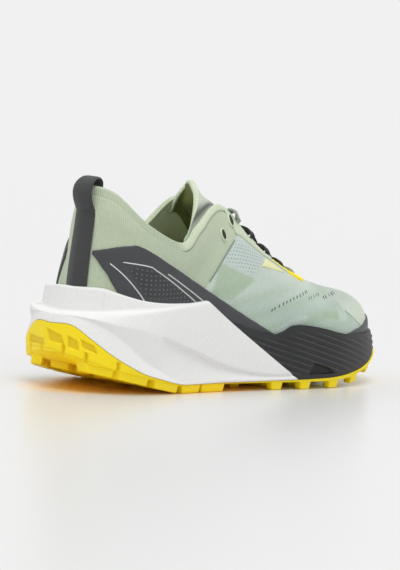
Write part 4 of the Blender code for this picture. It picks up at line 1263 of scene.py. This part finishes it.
def resample(rows, count, axis):
    """Grid of points with another count of rows or columns, smooth through the old ones."""
    rows = np.moveaxis(rows, axis, 0)
    fine = np.linspace(0.0, len(rows) - 1.0, count)
    first = np.minimum(np.floor(fine).astype(int), len(rows) - 2)
    near = [rows[np.clip(first + step, 0, len(rows) - 1)] for step in (-1, 0, 1, 2)]
    share = (fine - first).reshape(-1, *([1] * (rows.ndim - 1)))
    return np.moveaxis(spline(*near, share), 0, axis)


def grid_normals(rows):
    return unit(np.cross(np.gradient(rows, axis=0), np.gradient(rows, axis=1)))


def make_tongue():
    """Padded tongue whose top edge runs down inside the collar, tucked under both edges of the throat."""
    face = [tongue_top_line(share) for share in np.linspace(0.0, 1.0, TONGUE_TOP_ROWS)[:-1]]
    face += [tongue_line(where) for where in np.linspace(TONGUE_FIRST, TONGUE_LAST, TONGUE_ROWS + 1)]
    face += [tongue_root_line(where) for where in TONGUE_ROOT]
    count, columns = TONGUE_CELLS
    face = resample(resample(np.stack(face), count, 0), columns, 1)
    normals = grid_normals(face)
    across = np.linspace(-1.0, 1.0, columns)[None, :]
    down = np.linspace(0.0, 1.0, count)[:, None]
    fullness = TONGUE_EDGE + (1.0 - TONGUE_EDGE) * (1.0 - across**4)
    thick = TONGUE_THICK * fullness * dome(across, 6) * dome(1.0 - down, 40)
    middle = face - normals * (TONGUE_THICK * 0.5)
    front = middle + normals * (thick * 0.5)[..., None]
    back = middle - normals * (thick * 0.5)[..., None]
    rows = closed_section(front, back, 1)
    turned = np.concatenate([np.zeros(columns), np.ones(columns), [0.0]])[None, :, None]
    paint = TONGUE_GREY + (OLIVE_SHADE - TONGUE_GREY) * turned
    # Dark grey band near both edges at the top of the tongue's face: painted shadow of the gap between the
    # tongue and the collar.
    gap_shade = hump(np.abs(across), *GAP_SHADE_BAND) * (1.0 - ease(*GAP_SHADE_END, down))
    gap_shade = np.concatenate([gap_shade, np.zeros((count, columns)), gap_shade[:, :1]], axis=1)[..., None]
    paint = paint + (GAP_SHADE - paint) * gap_shade
    edge = 1.0 - ease(*BOUND_EDGE, down)[..., None]
    paint = paint + (BINDING - paint) * edge
    made = Shape().lay(rows, paint=paint).piece("padded_tongue", (KNIT,), "sage_knit", ("tongue",))
    return made


# Films on the upper: how far they stand off it, reach into it, and their thickness
FILM_LIFT = 0.15
FILM_TUCK = 0.5
FILM_THICK = 1.1


def film_rows(where, low, high, thick, rows=12):
    """Closed section of a film on the upper between two levels, with rounded edges."""
    shares = 0.5 - 0.5 * np.cos(np.linspace(0.0, math.pi, rows))[:, None]
    crest = np.sqrt(dome(2.0 * shares - 1.0, 6))
    ends = dome(np.linspace(-1.0, 1.0, len(where)), 60)
    levels = low + (high - low) * shares * np.ones_like(where)
    outer = off_upper(where, levels, FILM_LIFT + thick * crest * ends)
    return closed_section(outer, off_upper(where, levels, -FILM_TUCK))


def make_film(name, edges, medial, slot, node, field=None):
    """Dark film on the upper between two heights."""
    stations = np.linspace(edges[0].station, edges[-1].station, 200)
    where = facing(stations, medial)
    low = level_at(where, open_run([(edge.station, edge.low) for edge in edges], stations))
    high = level_at(where, open_run([(edge.station, edge.high) for edge in edges], stations))
    rows = film_rows(where, low, high, FILM_THICK, 24)
    mark = inside(rows[..., 0], rows[..., 2], field, 0.8) if field else np.zeros(rows.shape[:2])
    return Shape().lay(rows, mark=mark).piece(name, (FILM,), slot, (node,))


def bead_rows(where, level, width, rise, sunk=0.4, closed=False):
    """Half-round bead that follows a line on the upper."""
    middle = upper(where, level)
    normal = upper_normal(where, level)
    if closed:
        along = np.roll(middle, -1, axis=0) - np.roll(middle, 1, axis=0)
        taper = np.ones((len(where), 1))
    else:
        along = np.gradient(middle, axis=0)
        taper = dome(np.linspace(-1.0, 1.0, len(where)), 24)[:, None]
    across = unit(np.cross(normal, along))
    rows = []
    for turn in np.linspace(0.0, 2.0 * math.pi, 13):
        lift = math.sin(turn)
        height = rise * lift if lift > 0 else sunk * lift
        rows.append(middle + across * (0.5 * width * math.cos(turn) * taper) + normal * (height * taper))
    rows = np.stack(rows)
    return np.concatenate([rows, rows[:, :1]], axis=1) if closed else rows


def side_bead(shape, points, medial, width, rise):
    """Bead along a line of the side, given as distances from the heel and heights."""
    where, level = on_side(along_line(points, 1.0), medial)
    shape.lay(bead_rows(where, level, width, rise))


# Piping and speckled field of the quarter films, as distances from the heel and heights
PANEL_LINES = (
    ((28.3, 76.0), (35.0, 66.8), (43.4, 54.6)),
    ((32.2, 77.0), (45.6, 75.2), (52.0, 71.8), (83.5, 54.6)),
    ((57.5, 71.5), (90.5, 55.0)),
)
PIPING_WIDTH = 1.15
PIPING_RISE = 1.7
SPECK_FIELD = ((43.0, 57.0), (82.0, 54.0), (47.0, 74.0), (34.0, 74.0))


def make_panel_lines():
    """Pale piping on the quarter films."""
    shape = Shape()
    for medial in (False, True):
        for line in PANEL_LINES:
            if medial and line is PANEL_LINES[0]:
                continue
            side_bead(shape, line, medial, PIPING_WIDTH, PIPING_RISE)
    return shape.piece("panel_piping", (PIPING_TRIM,), "charcoal_film")


# Rows of slits over the toes: line on the side, how many and how wide
Slits = namedtuple("Slits", "line count width")
SLIT_ROWS = (
    Slits(((156.0, 49.0), (165.0, 52.7), (178.0, 56.7), (193.0, 60.0)), 12, 1.0),
    Slits(((192.5, 56.0), (207.0, 58.0)), 5, 0.7),
    Slits(((211.6, 56.0), (229.0, 58.3)), 5, 0.7),
)
SLIT_REACH = np.array((0.3, 1.1))
SLIT_RISE = 0.14
SLIT_SUNK = 0.2


def make_slits():
    """Rows of slit holes over the toes."""
    shape = Shape()
    for medial in (False, True):
        for row in SLIT_ROWS:
            points = along_line(row.line, 0.25)
            for pick in np.linspace(0, len(points) - 1, row.count).astype(int):
                middle = points[pick]
                where, level = on_side((middle - SLIT_REACH, middle, middle + SLIT_REACH), medial)
                where, level = resample(where, 5, 0), resample(level, 5, 0)
                shape.lay(bead_rows(where, level, row.width, SLIT_RISE, SLIT_SUNK))
    return shape.piece("slit_holes", (SHADE_TRIM,), "sage_knit")


# Stitched edge of the collar, and the width and rise of each seam
COLLAR_SEAM = ((28.0, 114.0), (34.0, 109.0), (40.0, 102.0), (45.5, 94.4))
QUARTER_STITCH = (0.7, 0.05)
TOE_STITCH = (0.5, 0.1)
COLLAR_STITCH = (0.5, 0.2)


def make_seams():
    """Seam between quarter and forefoot, edge of the toe's film, and the stitched edge of the collar."""
    shape = Shape()
    for medial in (False, True):
        side_bead(shape, SEAM[2:-1], medial, *QUARTER_STITCH)
        side_bead(shape, TOE_LINE[1:], medial, *TOE_STITCH)
    side_bead(shape, COLLAR_SEAM, False, *COLLAR_STITCH)
    return shape.piece("seams", (SEAM_TRIM,), "sage_knit")


# Eyestays and yellow tab: stations that they run over, levels of their edges, and thickness
EYESTAY = (5.1, 7.9)
EYESTAY_HIGH = 0.992
EYESTAY_THICK = 0.7
EYESTAY_EDGE = slice(8, 80)
EYESTAY_BEAD = (0.9, 1.0)
EYESTAY_LOW = ((5.1, 0.75), (5.6, 0.735), (5.95, 0.74), (6.4, 0.76), (6.8, 0.78), (7.9, 0.84))
TAB = (8.0, 12.0)
TAB_LEVELS = (0.87, 0.99)
TAB_THICK = 0.9
TAB_SIDE = (6.72, 8.05)
TAB_SIDE_HIGH = 0.985
TAB_SIDE_THICK = 1.3
TAB_SIDE_LOW = ((6.72, 0.90), (6.95, 0.79), (7.15, 0.70), (7.4, 0.77), (7.75, 0.86), (8.05, 0.875))


def make_eyestays():
    """Films along both edges of the throat with a pale lower edge, and the yellow tab round its end."""
    edges = Shape()
    for name, node, medial in (
        ("eyestay_film_outer", "eyestay_lateral", False),
        ("eyestay_film_inner", "eyestay_medial", True),
    ):
        stations = np.linspace(*EYESTAY, 120)
        where = facing(stations, medial)
        low = open_run(EYESTAY_LOW, stations)
        rows = film_rows(where, low, EYESTAY_HIGH, EYESTAY_THICK, 14)
        Shape().lay(rows).piece(name, (TRIM,), "sage_trim", (node,))
        edges.lay(bead_rows(where[EYESTAY_EDGE], low[EYESTAY_EDGE], *EYESTAY_BEAD))
    edges.piece("eyestay_edges", (BINDING_TRIM,), "sage_trim")
    rows = film_rows(np.linspace(*TAB, 120), *TAB_LEVELS, TAB_THICK)
    Shape().lay(rows).piece("throat_tab_film", (YELLOW_TRIM,), "yellow_trim", ("throat_tab",))
    wings = Shape()
    for medial in (False, True):
        stations = np.linspace(*TAB_SIDE, 50)
        low = open_run(TAB_SIDE_LOW, stations)
        wings.lay(film_rows(facing(stations, medial), low, TAB_SIDE_HIGH, TAB_SIDE_THICK))
    wings.piece("throat_tab_sides", (YELLOW_TRIM,), "yellow_trim")


# Cream patch beside the throat: its rear corner, lower edge, tip and upper edge
Patch = namedtuple("Patch", "start low tip high")
PATCH = Patch((148.6, 75.6), (162.0, 73.2), (175.0, 71.2), (157.5, 80.2))
PATCH_LIFT = 0.1
PATCH_THICK = 0.6
PATCH_CELLS = (14, 9)


def make_patches():
    """Cream patch beside the throat on both sides, laid as a grid between its two long edges."""
    shape = Shape()
    count, columns = PATCH_CELLS
    shares = np.linspace(0.0, 1.0, count)

    def edge(corner):
        bends = np.array((PATCH.start, corner, PATCH.tip))
        return np.stack([np.interp(shares, (0.0, 0.5, 1.0), places) for places in bends.T], axis=1)

    spots = np.linspace(edge(PATCH.low), edge(PATCH.high), columns, axis=1)
    crest = dome(np.linspace(-1.0, 1.0, columns), 6)
    for medial in (False, True):
        where, level = (part.reshape(PATCH_CELLS) for part in on_side(spots.reshape(-1, 2), medial))
        outer = off_upper(where, level, PATCH_LIFT + PATCH_THICK * crest)
        shape.lay(closed_section(outer, off_upper(where, level, -FILM_TUCK), 1))
    return shape.piece("throat_patches", (CREAM_TRIM,), "yellow_trim")


# Eyelets: station, level, half sizes along and up the upper, and turn
Eyelet = namedtuple("Eyelet", "place level wide tall turn")
SLOTS = (Eyelet(5.14, 0.865, 3.0, 4.4, -0.35), Eyelet(4.67, 0.775, 2.3, 3.6, -0.30))
EYELET_LEVEL = 0.90
EYELET_WIDE = 2.2
EYELET_TALL = 2.8
FIRST_EYELET = 5.35
LAST_EYELET = 7.75
RING_WIDTH = 1.2
RING_RISE = 1.5
HOLE_RISE = 1.0
HOLE_DEEP = 0.9


def eyelet_place(pair):
    return FIRST_EYELET + (LAST_EYELET - FIRST_EYELET) * pair / (LACE_PAIRS - 1)


def ring_on_upper(where, level, half_along, half_up, turn, count=28):
    """Places and levels of an oval round a spot of the upper, turned on its surface."""
    step = 0.01
    along = upper(where + step, level) - upper(where - step, level)
    up = upper(where, level + step) - upper(where, level - step)
    basis = np.stack([along / (2 * step), up / (2 * step)], axis=1)
    first = unit(along)
    second = unit(up - first * np.dot(up, first))
    angles = np.linspace(0.0, 2.0 * math.pi, count, endpoint=False)
    flat_x, flat_y = half_along * np.cos(angles), half_up * np.sin(angles)
    spin_x = flat_x * math.cos(turn) - flat_y * math.sin(turn)
    spin_y = flat_x * math.sin(turn) + flat_y * math.cos(turn)
    moves = spin_x[:, None] * first + spin_y[:, None] * second
    shares = np.linalg.lstsq(basis, moves.T, rcond=None)[0]
    return where + shares[0], level + shares[1]


def make_eyelets():
    """Bound eyelets down both eyestays, and the free slot behind the top one."""
    rings, holes = Shape(), Shape()
    size = (EYELET_WIDE, EYELET_TALL)
    laced = [Eyelet(eyelet_place(pair), EYELET_LEVEL, *size, 0.0) for pair in range(1, LACE_PAIRS)]
    for medial in (False, True):
        for eyelet in (*laced, *SLOTS):
            where, level = facing(eyelet.place, medial), eyelet.level
            turn = -eyelet.turn if medial else eyelet.turn
            around, up = ring_on_upper(where, level, eyelet.wide, eyelet.tall, turn)
            rings.lay(bead_rows(around, up, RING_WIDTH, RING_RISE, closed=True))
            disc = []
            for share in (1.0, 0.66, 0.33, 0.0):
                spot = off_upper(where + (around - where) * share, level + (up - level) * share, HOLE_RISE)
                disc.append(np.concatenate([spot, spot[:1]]))
            disc = np.stack(disc)
            holes.lay(closed_section(disc, disc - HOLE_DEEP * upper_normal(where, level)))
    rings.piece("eyelet_rings", (BINDING_TRIM,), "sage_trim")
    holes.piece("eyelet_holes", (HOLE_TRIM,), "sage_trim")


def band_rows(line, width, thick, lean):
    """Closed section of a flat woven band along a line; lean gives the way its face looks."""
    along = unit(np.gradient(line, axis=0))
    across = unit(np.cross(along, lean))
    face = unit(np.cross(across, along))
    rows = []
    for turn in np.linspace(0.0, 2.0 * math.pi, 21):
        wide = math.copysign(abs(math.cos(turn)) ** 0.35, math.cos(turn))
        high = math.copysign(abs(math.sin(turn)) ** 0.7, math.sin(turn))
        rows.append(line + across * (wide * width / 2) + face * (high * thick / 2))
    return np.stack(rows)


def capped(rows):
    """Band with both ends drawn in to its middle line."""
    ends = [np.repeat(rows[:, i].mean(axis=0)[None, None], len(rows), axis=0) for i in (0, -1)]
    return np.concatenate([ends[0], rows, ends[1]], axis=1)


# Lace: how it rises over eyelets and rim, sinks in, lies on the tongue, and which pairs are dark
LACE_RISE = 2.4
LACE_RIM_RISE = 2.8
LACE_SUNK = 1.6
LACE_SHIFT = 0.05
LACE_ON_TONGUE = 1.4
LACE_OVER = 0.9
LACE_STEPS = 49
LACE_FACE = np.array((0.35, 0.0, 1.0))
DARK_PAIRS = (1, 2, 3)


def lace_line(left, right):
    """Middle line of a lace: out of one eyelet, over both edges, down on the tongue, into the other."""
    crown = float(open_run(CROWN, (left + SEGMENTS - right) / 2))
    ends = []
    for where in (left, right):
        ends.append([
            off_upper(where, EYELET_LEVEL - 0.01, -LACE_SUNK),
            off_upper(where, EYELET_LEVEL + 0.02, LACE_RISE),
            off_upper(where, 1.0, LACE_RIM_RISE),
        ])
    rims = [upper(np.array(where), 1.0) for where in (left, right)]
    middle = []
    for share in (0.25, 0.5, 0.75):
        arch = crown * 4 * share * (1.0 - share) - TONGUE_CLEAR + LACE_ON_TONGUE
        middle.append(rims[0] + (rims[1] - rims[0]) * share + np.array((0.0, 0.0, arch)))
    return resample(np.stack([*ends[0], *middle, *ends[1][::-1]]), LACE_STEPS, 0)


def make_laces():
    """Bar at the foot of the throat and the crossings above it, dark where they leave the middle eyelets."""
    last = LACE_PAIRS - 1
    runs = [(last, last, 0.0)]
    for pair in range(last):
        runs.append((pair, pair + 1, LACE_SHIFT))
        runs.append((pair + 1, pair, -LACE_SHIFT))
    share = np.linspace(0.0, 1.0, LACE_STEPS)
    shape = Shape()
    for i, (left, right, shift) in enumerate(runs):
        line = lace_line(eyelet_place(left) + shift, facing(eyelet_place(right), True) + shift)
        over = LACE_OVER if i % 2 else 0.0
        line[:, 2] += over * np.sin(math.pi * share) ** 4
        dark = np.where(share < 0.5, float(left in DARK_PAIRS), float(right in DARK_PAIRS))
        rows = capped(band_rows(line, LACE_WIDTH, LACE_THICK, LACE_FACE))
        tones = np.concatenate([dark[:1], dark, dark[-1:]])[None, :, None]
        shape.lay(rows, paint=np.broadcast_to(LACE_PALE + (LACE_DARK - LACE_PALE) * tones, rows.shape))
    return shape.piece("laces", (LACE,), "lace", ("lace",))


# Pull loop: how it is tucked in and where it leaves the heel, the handles of its bend, and where it is held
TAPE_TUCK = 4.0
LOOP_LEAVES = 0.84
LOOP_BULGE = 13.0
LOOP_FORWARD = 9.0
LOOP_RISE = 20.5
LOOP_DROP = 15.5
HOLD_LEVELS = (0.97, 0.92, 0.87)
HOLD_CLEAR = 0.5
TAPE_ROWS = 24
LOOP_ROWS = 30
TAPE_COLUMNS = 13


def heel_place(y, level):
    """Place near the heel where the upper stands at a distance from the middle."""
    span = np.full(y.shape, 1.5)
    return search(-span, span, lambda place: upper(place, level)[..., 1] > y, 26)


def make_pull_loop():
    """Webbing sewn up the back of the heel, folded over the collar as a loop and held inside it."""
    across = np.linspace(-0.5, 0.5, TAPE_COLUMNS) * TAPE_WIDTH
    away = GAP + TAPE_THICK / 2

    def line(level, distance):
        return off_upper(heel_place(across, level), level, distance)

    start = float(level_at(0.0, SIDES[0].clip - TAPE_TUCK))
    sewn = [line(level, away) for level in np.linspace(start, LOOP_LEAVES, TAPE_ROWS)]
    held = [line(level, -float(wall_at(0.0, level)) - away - HOLD_CLEAR) for level in HOLD_LEVELS]
    lines = list(sewn)
    rise = sewn[-1] + np.array((-LOOP_BULGE, 0.0, LOOP_RISE))
    fall = held[0] + np.array((LOOP_FORWARD, 0.0, LOOP_DROP))
    for share in np.linspace(0.0, 1.0, LOOP_ROWS + 1)[1:-1]:
        row = bezier(sewn[-1], rise, fall, held[0], share)
        middle = row[TAPE_COLUMNS // 2, 0]
        row[:, 0] = middle + (row[:, 0] - middle) * (1.0 - math.sin(math.pi * share))
        lines.append(row)
    rows = np.stack(lines + held)
    spine = rows[:, TAPE_COLUMNS // 2]
    along = np.gradient(spine, axis=0)
    face = unit(np.stack([-along[:, 2], np.zeros(len(along)), along[:, 0]], axis=1))[:, None, :]
    half = face * (TAPE_THICK / 2) * dome(np.linspace(-1.0, 1.0, TAPE_COLUMNS), 10)[:, None]
    section = closed_section(rows + half, rows - half, 1)
    ends = [np.concatenate([rows[i], rows[i][::-1], rows[i][:1]])[None] for i in (0, -1)]
    shape = Shape().lay(np.concatenate([ends[0], section, ends[1]]))
    return shape.piece("pull_loop", (WEBBING,), "black_webbing", ("heel_pull_loop",))


# Light and camera
BACKDROP = 0.88
# Painted amber bounce light of the yellow rubber on the floor round the sole: its colour, half sizes, shift
# towards the heel and soft edge
PAINTED_BOUNCE_AMBER = rgb(255, 196, 96)
BOUNCE_REACH = (0.120, 0.044)
BOUNCE_SHIFT = 0.035
BOUNCE_EDGE = (0.6, 1.25)
FLOOR_SIZE = 40.0
SUN_POWER = 1.05
SUN_SPREAD = 30.0
SUN_TURN = (math.radians(13.0), math.radians(-9.0), 0.0)
View = namedtuple("View", "azimuth elevation roll distance scale column row")
VIEW = View(-51.5, 4.6, 4.8, 1895.0, 1.608, 215.6, 292.7)
LOOK_AT = np.array((152.0, 0.0, 55.0))
IMAGE = (400, 570)
SENSOR = 36.0


def make_floor():
    """Pale floor that shows the same tone as the backdrop where no shadow falls, tinted amber round the sole
    as painted bounce light.
    """
    shape = bmesh.new()
    bmesh.ops.create_grid(shape, x_segments=1, y_segments=1, size=FLOOR_SIZE)
    mesh = bpy.data.meshes.new("floor")
    shape.to_mesh(mesh)
    shape.free()
    lit = SUN_POWER * math.cos(SUN_TURN[0]) * math.cos(SUN_TURN[1]) / math.pi
    tone = BACKDROP / (BACKDROP + lit)
    pale = Finish("floor", 0.3, Specular_IOR_Level=0.5)
    grain = pale.noise(30.0, 2.0)
    split = pale.node("ShaderNodeSeparateXYZ", {0: pale.node("ShaderNodeTexCoord", {}, 3)}).node
    # Floor tinted amber in an oval round the sole: painted bounce light, which also colours the shadow there.
    along = pale.math("DIVIDE", pale.math("ADD", split.outputs[0], BOUNCE_SHIFT), BOUNCE_REACH[0])
    across = pale.math("DIVIDE", split.outputs[1], BOUNCE_REACH[1])
    reach = pale.math("ADD", pale.math("POWER", along, 2.0), pale.math("POWER", across, 2.0))
    painted_bounce = pale.spread(reach, *BOUNCE_EDGE, 1.0, 0.0)
    colour = pale.mix(painted_bounce, opaque((tone, tone, tone)), opaque(PAINTED_BOUNCE_AMBER))
    mesh.materials.append(pale.finish(shaded(pale, colour, grain, 0.004)))
    made = bpy.data.objects.new("floor", mesh)
    bpy.context.scene.collection.objects.link(made)


def make_light():
    """Even backdrop and one wide soft sun."""
    world = bpy.data.worlds.new("studio")
    world.use_nodes = True
    world.node_tree.nodes["Background"].inputs["Color"].default_value = (BACKDROP, BACKDROP, BACKDROP, 1.0)
    bpy.context.scene.world = world
    lamp = bpy.data.lights.new("soft_sun", "SUN")
    lamp.energy = SUN_POWER
    lamp.angle = math.radians(SUN_SPREAD)
    sun = bpy.data.objects.new("soft_sun", lamp)
    sun.rotation_euler = SUN_TURN
    bpy.context.scene.collection.objects.link(sun)
    bpy.context.scene.view_settings.view_transform = "Standard"


def make_camera():
    """Camera at the photo's angle, rolled as the photo is."""
    azimuth, elevation, roll = (math.radians(turn) for turn in VIEW[:3])
    flat = math.cos(elevation)
    back = Vector((math.sin(azimuth) * flat, -math.cos(azimuth) * flat, math.sin(elevation)))
    right = Vector((math.cos(azimuth), math.sin(azimuth), 0.0))
    up = back.cross(right)
    across = right * math.cos(roll) + up * math.sin(roll)
    upright = up * math.cos(roll) - right * math.sin(roll)
    lens = bpy.data.cameras.new("camera")
    lens.sensor_fit = "VERTICAL"
    lens.sensor_height = SENSOR
    lens.lens = SENSOR * VIEW.scale * VIEW.distance / IMAGE[1]
    lens.shift_x = (IMAGE[0] / 2 - VIEW.column) / IMAGE[1]
    lens.shift_y = (VIEW.row - IMAGE[1] / 2) / IMAGE[1]
    camera = bpy.data.objects.new("camera", lens)
    turn = Matrix((across, upright, back)).transposed().to_4x4()
    spot = Vector((LOOK_AT + ROOT) * MM) + back * VIEW.distance * MM
    camera.matrix_world = Matrix.Translation(spot) @ turn
    bpy.context.scene.collection.objects.link(camera)
    bpy.context.scene.camera = camera


def main():
    """Makes every piece, the stage, the light and the camera."""
    make_upper()
    make_rear_foam()
    make_front_foam()
    make_rubber_sole()
    make_lugs()
    make_sock_liner()
    make_tongue()
    for name, edges, medial, node in (
        ("quarter_film_outer", QUARTER, False, "quarter_panel_lateral"),
        ("quarter_film_inner", QUARTER_MEDIAL, True, "quarter_panel_medial"),
    ):
        make_film(name, edges, medial, "charcoal_film", node, SPECK_FIELD)
    make_film("toe_film", BUMPER, False, "charcoal_rubber", "toe_bumper")
    make_panel_lines()
    make_slits()
    make_seams()
    make_eyestays()
    make_patches()
    make_eyelets()
    make_laces()
    make_pull_loop()
    make_floor()
    make_light()
    make_camera()


main()
